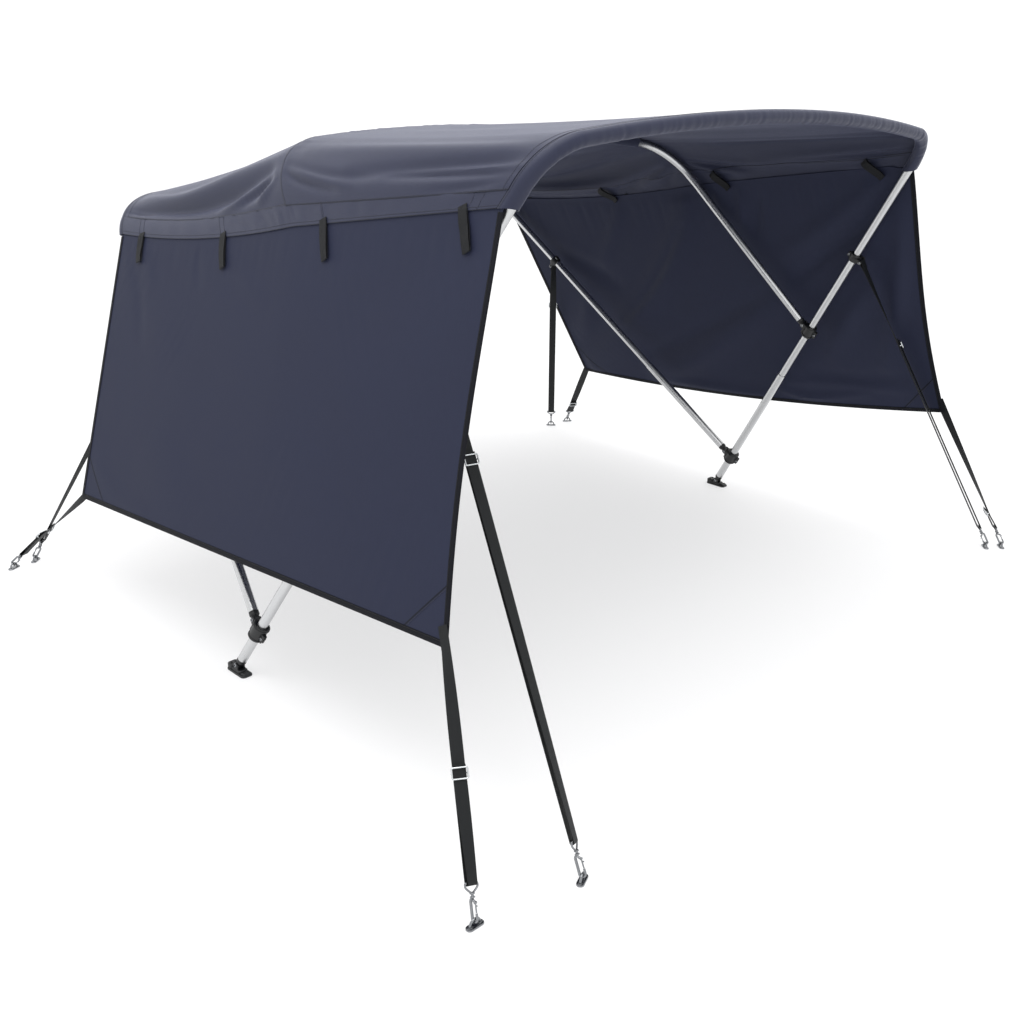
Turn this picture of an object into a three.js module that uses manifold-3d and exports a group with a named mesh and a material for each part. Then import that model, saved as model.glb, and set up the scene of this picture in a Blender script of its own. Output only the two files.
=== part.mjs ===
// Bimini top with its folding frame, two side walls, deck straps and deck fittings.
// Millimetres, +Z up, Z = 0 is the deck. +X is the open front, +Y the left side.
// A side is +1 for left and -1 for right. The bows are drawn in their own leaning planes,
// and the cloth is drawn from the bows that carry it.

import * as THREE from 'three';
import Module from 'manifold-3d';
import { mergeVertices } from 'three/addons/utils/BufferGeometryUtils.js';

const wasm = await Module();
wasm.setup();

// Overall
const GAP = 0.4;               // between pieces that meet
const SEAM_GAP = 0.6;          // between cloth pieces sewn edge to edge
const CENTRE_SHIFT_X = -62.46;  // puts the middle of the whole part over X = 0
const CLOTH = 2;               // canopy and wall thickness

// Tubes
const TUBE_RADIUS = 11.1;
const LOWER_TUBE_RADIUS = 12.7;
const TUBE_SIDES = 10;
const RING_SIDES = 12;
const WIRE_SIDES = 6;
const THIN_SIDES = 5;
const RING_CLEARANCE = 0.75;   // bore radius of a ring over the tube radius

// Each bow: hinge (x, z) and tilt of its plane from +X, half width at the hinge, inward lean of the
// legs per unit of height, crown height and radius, corner radius, and how far it is racked, which
// lifts the right side. back is the way the cloth runs over it, towards the rear. The cloth's outer
// face lies crownCover over the axis on the crown, seamCover at the valance seam, hemCover at the hem.
const BOWS = {
  main: {
    hinge: [0, 0], tilt: 58.8, halfWidth: 1024, lean: 0.175, crown: 1562.4, crownRadius: 4650,
    cornerRadius: 131, racking: 0.023, back: [-0.996, -0.084],
    crownCover: 13.9, seamCover: 21, hemCover: 23, hem: 1378, seam: 1425,
  },
  middle: {
    hinge: [398.3, 659], tilt: 132.5, halfWidth: 886, lean: 0.203, crown: 818.9, crownRadius: 4200,
    cornerRadius: 202, racking: 0.042, back: [-0.989, -0.148],
    crownCover: 13.9, seamCover: 15.5, hemCover: 21, hem: 563, seam: 628,
  },
  rear: {
    hinge: [79.7, 131.8], tilt: 139, halfWidth: 995, lean: 0.194, crown: 1439.4, crownRadius: 4200,
    cornerRadius: 178, racking: 0, back: [-0.976, -0.218],
    crownCover: 13.9, seamCover: 17, hemCover: 25, hem: 1258, seam: 1320,
  },
};

// Heights along the bow planes
const MAIN_LEG_JOINT = 573;    // lower tube ends, upper tube starts
const REAR_LEG_JOINT = 440;
const DECK_PIN = 24;
const DECK_PLUG = [36, 47];    // plug at the foot of the main leg
const HINGE_PLATE = { length: 77, width: 32, height: 5, corner: 10 };
const LOWER_JAW = { height: 154, length: 44, wall: 6.5, reach: 31, plug: [42, 53] };
const UPPER_JAW = { height: 770, length: 40, wall: 5.5, reach: 27, plug: [37, 46] };
const JAW_BRIDGE = { thick: 7, width: 20, shorter: 8 };
const SINK = 2;                // how deep joined blocks run into each other
// Fork with two cheeks and a pin, and the flat tongue of the plug between them
const CHEEK = { thick: 4.5, offset: 9.2, width: 17 };
const TONGUE = { width: 14.6, depth: 15, behind: 7 };
const PIN = { radius: 4, half: 14 };
const MAIN_SLIDE = 1071;
const REAR_SLIDE = 956;

// Canopy: columns from hem to hem, rows from the main bow to the rear bow
const CORNER_STEPS = 5;
const CROWN_STEPS = 4;
const FRONT_STEPS = [0, 0.045, 0.16, 0.3, 0.44, 0.58, 0.72, 0.86, 1];
const REAR_STEPS = [0, 0.14, 0.28, 0.42, 0.56, 0.7, 0.84, 0.955, 1];
const FRONT_SAG = { crown: 8, side: 0 };
const REAR_SAG = { crown: 14, side: 20 };
const SEAM_BACK = 10;          // front and rear panel edges lie this far inside of the bow axis

// Sleeve sections, each corner as (back, out) from the bow axis, inner side on the left
const FRONT_SLEEVE = [
  [9.4, 13.9], [-8, 13.6], [-14.8, 8.5], [-16, -2],
  [-12.3, -11.8], [1, -16.8], [14.3, -8.8], [16.5, 10.4],
];
const REAR_SLEEVE = [
  [-16.5, 10.2], [-14.5, -9], [-1, -17], [12.4, -12],
  [15.8, -2], [14.8, 8.5], [8, 13.6], [-9.2, 13.9],
];
const MIDDLE_SLEEVE = [
  [-20, 6.9], [-16.2, 6.9], [-15.6, 0], [-11, -11], [0, -15.6],
  [11, -11], [15.6, 0], [16.2, 6.4], [20, 6.4],
];

// Walls, by side: lower corners, hollow of the cut front edge, sag of the bottom edge
const WALLS = {
  right: { side: -1, frontFoot: [835, -1055, 402], rearFoot: [-710, -1055, 277], hollow: 19, sag: 0 },
  left: { side: 1, frontFoot: [808, 1047, 448], rearFoot: [-680, 1050, 296], hollow: 19, sag: 30 },
};
const WALL_TUCK = 12;          // wall reaches this far up behind the valance
const WALL_BEHIND = 0.9;       // from the valance's inner face to the wall
const WALL_REACH = { front: 17, rear: 10 };  // its edges beyond the first and last bow
const WALL_START = 0.6;        // its top edge below the hem beside the sleeves
const WALL_ROWS = [0.12, 0.26, 0.4, 0.54, 0.69, 0.84];
const EDGE_STRIP = 14;         // narrow rows of the wall's mesh under the binding
// Soft folds of the walls: from and to as (share of length from the front, share of height from the
// hem), depth outwards and width in shares of the wall's height
const WALL_FOLDS = {
  right: [
    { from: [0.1, 0.05], to: [0.42, 0.3], depth: 5, width: 0.16 },
    { from: [0.98, 0.98], to: [0.72, 0.6], depth: 7, width: 0.15 },
    { from: [0.03, 0.95], to: [0.3, 0.7], depth: -5, width: 0.16 },
    { from: [0.62, 0.04], to: [0.8, 0.3], depth: 4, width: 0.13 },
  ],
  left: [
    { from: [0.5, 0.02], to: [0.97, 0.93], depth: -12, width: 0.14 },
    { from: [0.3, 0.3], to: [0.8, 0.85], depth: 7, width: 0.13 },
    { from: [0.12, 0.05], to: [0.16, 0.5], depth: 6, width: 0.1 },
    { from: [0.75, 0.03], to: [0.7, 0.35], depth: 6, width: 0.1 },
  ],
};

// Binding round the walls: legs on both faces, slot for the cloth
const BINDING = { leg: 12, plate: 1, slot: 2.8, bottom: 0.6, start: 4 };

// Roll-up tabs: webbing folded double, hanging flat from the hem and from the seam
const TAB_PLACES = [-740, -295, 145, 610];
// root is how deep they sink into the valance, bend where the inner ones turn away from it,
// slant how far they lean to the front
const TAB = {
  width: 25, thick: 3.4, root: 0.6, clear: 2.4, patch: 12, drop: 84, slant: 0.3,
  belowSeam: 9, innerDrop: 80, innerSlant: 0.6, bend: [5, 14],
};

// Straps: webbing from a slide on a bow or from a wall's lower corner to a deck eye.
// buckle is the distance of the buckle from the deck eye; face is the wall's face it is sewn to.
// lay is the side of the webbing that the buckle is on, turn its twist from the buckle to the hook.
const WEBBING = { width: 25, thick: 1.6 };
const STRAPS = [
  {
    name: 'right_front_frame', side: -1, from: 'main', pad: [1135, -984], buckle: 819, lay: -1,
    turn: -0.75,
  },
  { name: 'left_front_frame', side: 1, from: 'main', pad: [959, 1176], buckle: 738 },
  { name: 'right_rear_frame', side: -1, from: 'rear', pad: [-1000, -1100], buckle: 112 },
  { name: 'left_rear_frame', side: 1, from: 'rear', pad: [-912, 1104], buckle: 624 },
  {
    name: 'right_front_wall', side: -1, from: 'frontFoot', face: 1, pad: [1083, -1213], buckle: 254,
    lay: -1, turn: -0.65,
  },
  { name: 'left_front_wall', side: 1, from: 'frontFoot', face: 1, pad: [993, 1216], buckle: 122 },
  { name: 'right_rear_wall', side: -1, from: 'rearFoot', face: -1, pad: [-990, -1170], buckle: 171 },
  { name: 'left_rear_wall', side: 1, from: 'rearFoot', face: 1, pad: [-906, 1200], buckle: 124 },
];
const BAR_RADIUS = 2.5;        // bars that the webbing loops round
const LOOP_SLACK = 0.3;        // more than the gap, in the webbing's turn round a bar
const STRAP_HOLD = 45;         // length sewn to the wall
const STRAP_BELOW = 4;         // where it turns to the deck eye, below the wall's corner
const TAIL = { length: 32, free: 28 };  // doubled webbing at a sewn loop, and how much of it is free
const TWIST_STEP = 0.3;        // most turn between two rings of a strap, in radians
const LOOP_STEPS = 4;          // parts of a half turn round a bar
const BUCKLE_LEAD = { before: 4, after: 2 };  // webbing beyond the buckle before it bends
const BUCKLE = { width: 33, length: 24, plate: 2, rail: 3.6, bar: 5, lift: 5.2 };
const SLIDE = { length: 24, wall: 4.6, reach: 22, cheek: 3, cheekLength: 12, play: 1.5, rim: 4 };

// Snap hook, from the deck eye upwards
const HOOK = {
  wire: 2.4, half: 5.8, straight: 29, slack: 0.1, barrel: [6, 17], barrelRadius: 5,
  bail: 32, bar: 15.5, shoulder: 7, neck: 16.5, neckHalf: 2.5, side: 2,
};
const EYE = { wire: 2.5, height: 16, half: 12 };
const EYE_STEPS = 5;
const EYE_PLATE = { length: 40, width: 16, height: 3, corner: 7.5 };

const COLOURS = {
  canvas: { color: 0x4c4f61, roughness: 0.85, metalness: 0 },
  wallCanvas: { color: 0x404352, roughness: 0.85, metalness: 0 },
  binding: { color: 0x1a1b22, roughness: 0.8, metalness: 0 },
  webbing: { color: 0x2b2f33, roughness: 0.8, metalness: 0 },
  nylon: { color: 0x1e2224, roughness: 0.45, metalness: 0 },
  aluminium: { color: 0xc9ccd0, roughness: 0.3, metalness: 1 },
  steel: { color: 0xbfc3c7, roughness: 0.22, metalness: 1 },
};

const UP = vec(0, 0, 1);

function vec(x, y, z) {
  return new THREE.Vector3(x, y, z);
}

function move(point, direction, distance) {
  return point.clone().addScaledVector(direction, distance);
}

function mix(a, b, share) {
  return a.clone().lerp(b, share);
}

function towards(a, b) {
  return b.clone().sub(a).normalize();
}

function cross(a, b) {
  return a.clone().cross(b).normalize();
}

function flatten(direction, normal) {
  return direction.clone().projectOnPlane(normal).normalize();
}

function lerp(a, b, share) {
  return a + (b - a) * share;
}

// Closed surface from points and triangles, turned so that its faces point outwards
function closedSurface(points, triangles) {
  let volume = 0;
  for (const [a, b, c] of triangles) volume += points[a].dot(points[b].clone().cross(points[c]));
  const order = volume < 0 ? [0, 2, 1] : [0, 1, 2];
  const geometry = new THREE.BufferGeometry();
  const positions = points.flatMap((p) => p.toArray());
  geometry.setAttribute('position', new THREE.Float32BufferAttribute(positions, 3));
  geometry.setIndex(triangles.flatMap((t) => order.map((k) => t[k])));
  geometry.computeVertexNormals();
  return geometry;
}

// Solid through a row of rings with the same number of points; outline is the ring's flat shape.
// The diagonals run alike on both faces of a strip, so it keeps its thickness where it twists.
function loft(rings, outline) {
  const count = rings[0].length;
  const last = (rings.length - 1) * count;
  const triangles = [];
  for (let start = 0; start < last; start += count) {
    for (let k = 0; k < count; k += 1) {
      const next = (k + 1) % count;
      const [a, b, c, d] = [start + k, start + next, start + count + next, start + count + k];
      if (k < count / 2) triangles.push([a, b, d], [b, c, d]);
      else triangles.push([a, b, c], [a, c, d]);
    }
  }
  const turn = Math.sign(THREE.ShapeUtils.area(outline));
  for (const [a, b, c] of THREE.ShapeUtils.triangulateShape(outline, [])) {
    const same = Math.sign(THREE.ShapeUtils.area([a, b, c].map((k) => outline[k]))) === turn;
    const [d, e] = same ? [b, c] : [c, b];
    triangles.push([a, e, d], [last + a, last + d, last + e]);
  }
  return closedSurface(rings.flat(), triangles);
}

// Ring of wire, closed on itself
function loftLoop(rings) {
  const count = rings[0].length;
  const total = rings.length * count;
  const triangles = [];
  for (let start = 0; start < total; start += count) {
    for (let k = 0; k < count; k += 1) {
      const next = (k + 1) % count;
      const [a, b] = [(start + count + k) % total, (start + count + next) % total];
      triangles.push([start + k, start + next, a], [start + next, b, a]);
    }
  }
  return closedSurface(rings.flat(), triangles);
}

function circle(radius, sides) {
  return Array.from({ length: sides }, (_, k) => {
    const angle = (k / sides) * 2 * Math.PI;
    return new THREE.Vector2(radius * Math.cos(angle), radius * Math.sin(angle));
  });
}

function asVectors(pairs) {
  return pairs.map(([x, y]) => new THREE.Vector2(x, y));
}

// Section of a strip with the given thickness on the left side of its line
function stripSection(line, thickness) {
  const inner = line.map((point, k) => {
    const before = line[Math.max(k - 1, 0)];
    const after = line[Math.min(k + 1, line.length - 1)];
    const first = (k === 0 ? after.clone().sub(point) : point.clone().sub(before)).normalize();
    const second = (k === line.length - 1 ? first : after.clone().sub(point)).clone().normalize();
    const side = new THREE.Vector2(-first.y - second.y, first.x + second.x);
    return point.clone().addScaledVector(side, thickness / (1 + first.dot(second)));
  });
  return [...line, ...inner.reverse()];
}

// Flat section carried to a place: x along the first direction, y along the second
function placeSection(section, point, xDirection, yDirection) {
  return section.map((p) => move(move(point, xDirection, p.x), yDirection, p.y));
}

// Tube through points; first is the direction of the section's first corner
function tubeThrough(points, firstDirections, radius, sides) {
  const section = circle(radius, sides);
  const rings = points.map((point, k) => {
    const before = points[Math.max(k - 1, 0)];
    const after = points[Math.min(k + 1, points.length - 1)];
    const run = towards(before, after);
    const first = flatten(firstDirections[k], run);
    return placeSection(section, point, first, cross(run, first));
  });
  return loft(rings, section);
}

function rod(from, to, radius, sides) {
  const side = Math.abs(towards(from, to).z) > 0.9 ? vec(1, 0, 0) : UP;
  return tubeThrough([from, to], [side, side], radius, sides);
}

// Box about a centre, with its three directions and sizes
function block(centre, directions, sizes) {
  const [x, y, z] = directions.map((direction, k) => direction.clone().multiplyScalar(sizes[k]));
  if (x.clone().cross(y).dot(z) < 0) z.negate();
  const geometry = new THREE.BoxGeometry(1, 1, 1);
  return geometry.applyMatrix4(new THREE.Matrix4().makeBasis(x, y, z).setPosition(centre));
}

function ringRound(centre, axis, bore, wall, length) {
  const shape = new THREE.Shape(circle(bore + wall, RING_SIDES));
  shape.holes.push(new THREE.Path(circle(bore, RING_SIDES)));
  const geometry = new THREE.ExtrudeGeometry(shape, { depth: length, bevelEnabled: false });
  const x = cross(axis, vec(0, 1, 0));
  const place = new THREE.Matrix4().makeBasis(x, cross(axis, x), axis);
  return geometry.applyMatrix4(place.setPosition(move(centre, axis, -length / 2)));
}

function toManifold(geometry) {
  const bare = new THREE.BufferGeometry();
  bare.setAttribute('position', geometry.getAttribute('position').clone());
  bare.setIndex(geometry.index ? geometry.index.clone() : null);
  const merged = mergeVertices(bare, 1e-4);
  const vertProperties = new Float32Array(merged.getAttribute('position').array);
  const triVerts = new Uint32Array(merged.index.array);
  return new wasm.Manifold(new wasm.Mesh({ numProp: 3, vertProperties, triVerts }));
}

// One body from pieces that overlap
function join(...pieces) {
  const mesh = pieces.map(toManifold).reduce((whole, piece) => whole.add(piece)).getMesh();
  const geometry = new THREE.BufferGeometry();
  geometry.setAttribute('position', new THREE.BufferAttribute(new Float32Array(mesh.vertProperties), 3));
  geometry.setIndex(new THREE.BufferAttribute(new Uint32Array(mesh.triVerts), 1));
  geometry.computeVertexNormals();
  return geometry;
}

// Half outline of a bow in its own plane: a straight leg, a corner arc and a crown arc.
// The length s runs from the middle of the crown. x is the half width there and y the height.
function bowOutline({ halfWidth, lean, crown, crownRadius, cornerRadius }) {
  const legUp = new THREE.Vector2(-lean, 1).normalize();
  const inward = new THREE.Vector2(-1, -lean).normalize();
  const crownCentre = new THREE.Vector2(0, crown - crownRadius);
  const legFoot = new THREE.Vector2(halfWidth, 0);
  const start = legFoot.clone().addScaledVector(inward, cornerRadius).sub(crownCentre);
  const along = start.dot(legUp);
  const run = Math.sqrt(along ** 2 - start.lengthSq() + (crownRadius - cornerRadius) ** 2) - along;
  const cornerCentre = crownCentre.clone().add(start).addScaledVector(legUp, run);
  const legTop = legFoot.clone().addScaledVector(legUp, run);
  const crownAngle = cornerCentre.clone().sub(crownCentre).angle();
  const legAngle = legTop.clone().sub(cornerCentre).angle();
  const crownLength = (Math.PI / 2 - crownAngle) * crownRadius;
  const cornerEnd = crownLength + (crownAngle - legAngle) * cornerRadius;
  return {
    crownLength,
    at(s) {
      if (s > cornerEnd) return legTop.clone().addScaledVector(legUp, cornerEnd - s);
      const onCrown = s <= crownLength;
      const centre = onCrown ? crownCentre : cornerCentre;
      const radius = onCrown ? crownRadius : cornerRadius;
      const angle = onCrown
        ? Math.PI / 2 - s / crownRadius
        : crownAngle - (s - crownLength) / cornerRadius;
      return centre.clone().add(new THREE.Vector2(Math.cos(angle), Math.sin(angle)).multiplyScalar(radius));
    },
    lengthAt(height) {
      if (height < legTop.y) return cornerEnd + (legTop.y - height) / legUp.y;
      return crownLength + (crownAngle - Math.asin((height - cornerCentre.y) / cornerRadius)) * cornerRadius;
    },
  };
}

// A bow: places on it are signed lengths from the middle of its crown, + to the left
class Bow {
  constructor(sizes) {
    Object.assign(this, sizes);
    const tilt = THREE.MathUtils.degToRad(sizes.tilt);
    this.rise = vec(Math.cos(tilt), 0, Math.sin(tilt));
    this.backward = vec(sizes.back[0], 0, sizes.back[1]).normalize();
    this.outline = bowOutline(sizes);
  }

  axis(place) {
    const side = place < 0 ? -1 : 1;
    const { x, y } = this.outline.at(Math.abs(place));
    const climb = y - (this.racking * side * x * y) / this.crown;
    return move(vec(this.hinge[0], side * x, this.hinge[1]), this.rise, climb);
  }

  tangent(place) {
    return towards(this.axis(place - 0.5), this.axis(place + 0.5));
  }

  // Place on one side at a height along the racked bow's plane
  placeAt(side, height) {
    const halfWidth = this.halfWidth - this.lean * height;
    return side * this.outline.lengthAt(height * (1 + (this.racking * side * halfWidth) / this.crown));
  }

  // Point beside the axis, out from the bow and back along the cloth
  beside(place, out, back) {
    const tangent = this.tangent(place);
    const across = tangent.clone().cross(this.backward);
    const stretch = 1 / across.length();
    return move(move(this.axis(place), across.normalize(), out), this.backward, back * stretch);
  }

  outward(place) {
    return cross(this.tangent(place), this.backward);
  }

  columns() {
    const half = (side) => {
      const seam = Math.abs(this.placeAt(side, this.seam));
      const { crownLength } = this.outline;
      const shares = (steps) => Array.from({ length: steps }, (_, k) => (k + 1) / steps);
      const corner = shares(CORNER_STEPS).map((share) => lerp(seam, crownLength, share));
      const crown = shares(CROWN_STEPS).map((share) => lerp(crownLength, 0, share));
      return [Math.abs(this.placeAt(side, this.hem)), seam, ...corner, ...crown].map((s) => side * s);
    };
    return [...half(-1), ...half(1).reverse().slice(1)];
  }

  // Height of the cloth's outer face over the axis, column by column
  covers() {
    return this.columns().map((_, k) => {
      const step = fromSeam(k);
      if (step < 0) return this.hemCover;
      return lerp(this.seamCover, this.crownCover, Math.min(step / CORNER_STEPS, 1));
    });
  }

  edge(back) {
    const covers = this.covers();
    return this.columns().map((place, k) => this.beside(place, covers[k], back));
  }
}

const main = new Bow(BOWS.main);
const middle = new Bow(BOWS.middle);
const rear = new Bow(BOWS.rear);
const LAST_COLUMN = 2 * (CORNER_STEPS + CROWN_STEPS + 1);

// Number of columns between a column and the nearer valance seam, -1 at the hem
function fromSeam(column) {
  return Math.min(column, LAST_COLUMN - column) - 1;
}

function canopyRows(start, end, steps, sag) {
  const outward = middle.columns().map((place) => middle.outward(place));
  return steps.map((share) => start.map((point, k) => {
    const hollow = 4 * share * (1 - share);
    const onCrown = THREE.MathUtils.smoothstep(fromSeam(k), 0, CORNER_STEPS);
    const sagged = move(mix(point, end[k], share), outward[k], -hollow * onCrown * sag.crown);
    return move(sagged, UP, -hollow * (1 - onCrown) * sag.side);
  }));
}

function gridNormals(grid) {
  const clamp = (list, k) => list[THREE.MathUtils.clamp(k, 0, list.length - 1)];
  return grid.map((row, i) => row.map((_, k) => {
    const across = clamp(row, k + 1).clone().sub(clamp(row, k - 1));
    const down = clamp(grid, i + 1)[k].clone().sub(clamp(grid, i - 1)[k]);
    return cross(across, down);
  }));
}

const canopy = [
  ...canopyRows(main.edge(SEAM_BACK), middle.edge(0), FRONT_STEPS, FRONT_SAG),
  ...canopyRows(middle.edge(0), rear.edge(-SEAM_BACK), REAR_STEPS, REAR_SAG).slice(1),
];
const canopyNormals = gridNormals(canopy);
const MIDDLE_ROW = FRONT_STEPS.length - 1;
const LAST_ROW = canopy.length - 1;

// Cloth from a grid of points on its outer face and the normals there
function clothSolid(outer, normals, thickness) {
  const rows = outer.length;
  const columns = outer[0].length;
  const inner = outer.map((row, i) => row.map((point, k) => move(point, normals[i][k], -thickness)));
  const top = (i, k) => i * columns + k;
  const under = (i, k) => rows * columns + top(i, k);
  const triangles = [];
  const quad = (a, b, c, d) => triangles.push([a, b, c], [a, c, d]);
  for (let i = 0; i + 1 < rows; i += 1) {
    for (let k = 0; k + 1 < columns; k += 1) {
      quad(top(i, k), top(i + 1, k), top(i + 1, k + 1), top(i, k + 1));
      quad(under(i, k), under(i, k + 1), under(i + 1, k + 1), under(i + 1, k));
    }
    quad(top(i, 0), under(i, 0), under(i + 1, 0), top(i + 1, 0));
    quad(top(i, columns - 1), top(i + 1, columns - 1), under(i + 1, columns - 1), under(i, columns - 1));
  }
  for (let k = 0; k + 1 < columns; k += 1) {
    quad(top(0, k), top(0, k + 1), under(0, k + 1), under(0, k));
    quad(top(rows - 1, k), under(rows - 1, k), under(rows - 1, k + 1), top(rows - 1, k + 1));
  }
  return closedSurface([...outer.flat(), ...inner.flat()], triangles);
}

// Piece of the canopy between two rows and two columns, half a gap short of each seam
function canopyPiece(rows, columns) {
  const between = ([first, last]) => (_, k) => k >= first && k <= last;
  const cut = (list) => list.filter(between(rows)).map((row) => row.filter(between(columns)));
  const points = cut(canopy);
  const lastRow = points.length - 1;
  const lastColumn = points[0].length - 1;
  const shortened = points.map((row, i) => row.map((point, k) => {
    const inRow = i === 0 ? 1 : i === lastRow ? -1 : 0;
    const inColumn = k === 0 ? 1 : k === lastColumn ? -1 : 0;
    const onRow = inRow ? move(point, towards(point, points[i + inRow][k]), SEAM_GAP / 2) : point;
    return inColumn ? move(onRow, towards(point, row[k + inColumn]), SEAM_GAP / 2) : onRow;
  }));
  return clothSolid(shortened, cut(canopyNormals), CLOTH);
}

function sideColumns(side) {
  return side < 0 ? { hem: 0, seam: 1 } : { hem: LAST_COLUMN, seam: LAST_COLUMN - 1 };
}

// Place on a valance at a given X: hem and seam points, and its own directions there
function valanceAt(side, x) {
  const { hem, seam } = sideColumns(side);
  const row = canopy.findIndex((points, i) => i > 0 && points[hem].x <= x);
  const share = (canopy[row - 1][hem].x - x) / (canopy[row - 1][hem].x - canopy[row][hem].x);
  const [hemPoint, seamPoint] = [hem, seam].map((k) => mix(canopy[row - 1][k], canopy[row][k], share));
  const forward = towards(canopy[row][hem], canopy[row - 1][hem]);
  const outward = mix(canopyNormals[row - 1][hem], canopyNormals[row][hem], share).normalize();
  return { hemPoint, seamPoint, forward, outward };
}

// Webbing tab, an outline in the plane across the hem, made wide along it
function tabSolid(outline, side, forward, width) {
  const flat = outline.map((p) => new THREE.Vector2(p.y * side, p.z));
  const rings = [-0.5, 0.5].map((share) => outline.map((p) => move(p, forward, share * width)));
  return loft(rings, flat);
}

// Distance of a wall's outer face from the centre plane at an X and a height
function wallWidth(side, x, z) {
  const { grid } = side < 0 ? walls.right : walls.left;
  const [columnAt, ...rest] = grid[0].map((_, k) => k).sort((a, b) => (
    Math.abs(grid[1][a].x - x) - Math.abs(grid[1][b].x - x)
  ));
  const next = rest.find((k) => (grid[1][k].x - x) * (grid[1][columnAt].x - x) <= 0) ?? rest[0];
  const share = (x - grid[1][columnAt].x) / (grid[1][next].x - grid[1][columnAt].x);
  const line = grid.slice(1).map((row) => mix(row[columnAt], row[next], share));
  const below = Math.max(line.findIndex((point) => point.z < z), 1);
  const [high, low] = [line[below - 1], line[below]];
  return Math.abs(mix(high, low, (high.z - z) / (high.z - low.z)).y);
}

// Place and directions of a tab: up the valance, out of it and down beside the wall
function tabFrame(side, x) {
  const { hemPoint, seamPoint, forward, outward } = valanceAt(side, x);
  const up = flatten(towards(hemPoint, seamPoint), forward);
  const out = cross(forward, up);
  if (out.dot(outward) < 0) out.negate();
  return { hemPoint, seamPoint, forward, up, out };
}

// Direction of a tab that leans to the front
function leaning(forward, up, slant) {
  return move(forward.clone().multiplyScalar(slant), up, -Math.sqrt(1 - slant ** 2));
}

function outerTab(side, x) {
  const { hemPoint, forward, up, out } = tabFrame(side, x);
  const down = leaning(forward, up, TAB.slant);
  const patch = move(hemPoint, down, -TAB.patch);
  const beside = (length, lift) => {
    const point = move(hemPoint, down, length);
    const edges = [-0.5, 0, 0.5].map((share) => wallWidth(side, point.x + share * TAB.width, point.z));
    return point.setY(side * (Math.max(...edges) + TAB.clear + lift));
  };
  const lengths = [TAB.drop, TAB.drop * 0.7, TAB.drop * 0.4];
  return tabSolid([
    move(patch, out, -TAB.root),
    move(patch, out, TAB.thick - TAB.root),
    move(hemPoint, out, TAB.thick),
    ...lengths.toReversed().map((length) => beside(length, TAB.thick)),
    ...lengths.map((length) => beside(length, 0)),
    move(hemPoint, out, -TAB.root),
  ], side, cross(down, out), TAB.width);
}

function innerTab(side, x) {
  const { seamPoint, forward, up, out } = tabFrame(side, x - TAB.innerDrop * TAB.innerSlant);
  const down = leaning(forward, up, TAB.innerSlant);
  const across = cross(down, out);
  const top = move(move(seamPoint, up, -TAB.belowSeam), out, -CLOTH);
  const under = (length, lift) => move(move(top, down, length), out, -lift);
  const beside = (length, lift) => {
    const point = move(top, down, length);
    const edges = [-0.5, 0, 0.5].map((share) => wallWidth(side, point.x + share * TAB.width, point.z));
    return point.setY(side * (Math.min(...edges) - CLOTH - TAB.clear - lift));
  };
  const lengths = [TAB.innerDrop, TAB.innerDrop * 0.75];
  const open = CLOTH + WALL_BEHIND + TAB.clear;
  return tabSolid([
    under(0, -TAB.root),
    under(0, TAB.thick - TAB.root),
    under(TAB.bend[0], TAB.thick),
    under(TAB.bend[1], open + TAB.thick),
    ...lengths.toReversed().map((length) => beside(length, TAB.thick)),
    ...lengths.map((length) => beside(length, 0)),
    under(TAB.bend[1], open),
    under(TAB.bend[0], -TAB.root),
  ], side, across, TAB.width);
}

function valance(side) {
  const { hem, seam } = sideColumns(side);
  const strip = canopyPiece([0, LAST_ROW], [Math.min(hem, seam), Math.max(hem, seam)]);
  const tabs = TAB_PLACES.flatMap((x) => [outerTab(side, x), innerTab(side, x)]);
  return join(strip, ...tabs);
}

// Sleeve round a bow, from one column to another
function sleeve(bow, corners, firstColumn) {
  const section = stripSection(asVectors(corners), CLOTH);
  const covers = bow.covers();
  const rings = bow.columns().map((place, k) => section.map((p) => {
    const loosened = p.y > 0 ? (p.y * covers[k]) / bow.crownCover : p.y;
    return bow.beside(place, loosened, p.x);
  }));
  return loft(rings.slice(firstColumn, LAST_COLUMN + 1 - firstColumn), section);
}

// Tube along a bow between two signed places, through the columns and the places between them
function bowTube(bow, places, radius) {
  const directions = places.map((place) => bow.outward(place));
  return tubeThrough(places.map((place) => bow.axis(place)), directions, radius, TUBE_SIDES);
}

function upperTube(bow, heights) {
  const right = heights.map((height) => bow.placeAt(-1, height));
  const left = heights.map((height) => bow.placeAt(1, height)).reverse();
  return bowTube(bow, [...right, ...bow.columns(), ...left], TUBE_RADIUS);
}

// Height on a bow at a distance along its leg from the hinge
function heightAt(bow, side, distance) {
  const [foot, higher] = [0, 100].map((height) => bow.axis(bow.placeAt(side, height)));
  return (100 * distance) / foot.distanceTo(higher);
}

function lowerTube(bow, side, plug, joint) {
  const start = heightAt(bow, side, plug[1] + GAP);
  const places = [start, (start + joint) / 2, joint - GAP].map((height) => bow.placeAt(side, height));
  return bowTube(bow, places, LOWER_TUBE_RADIUS);
}

// Where a leg is hinged: its foot on the axis of what carries it, and its direction
function legFrom(bow, side) {
  const foot = bow.axis(bow.placeAt(side, 0));
  return { foot, leg: towards(foot, bow.axis(bow.placeAt(side, 100))) };
}

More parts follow.
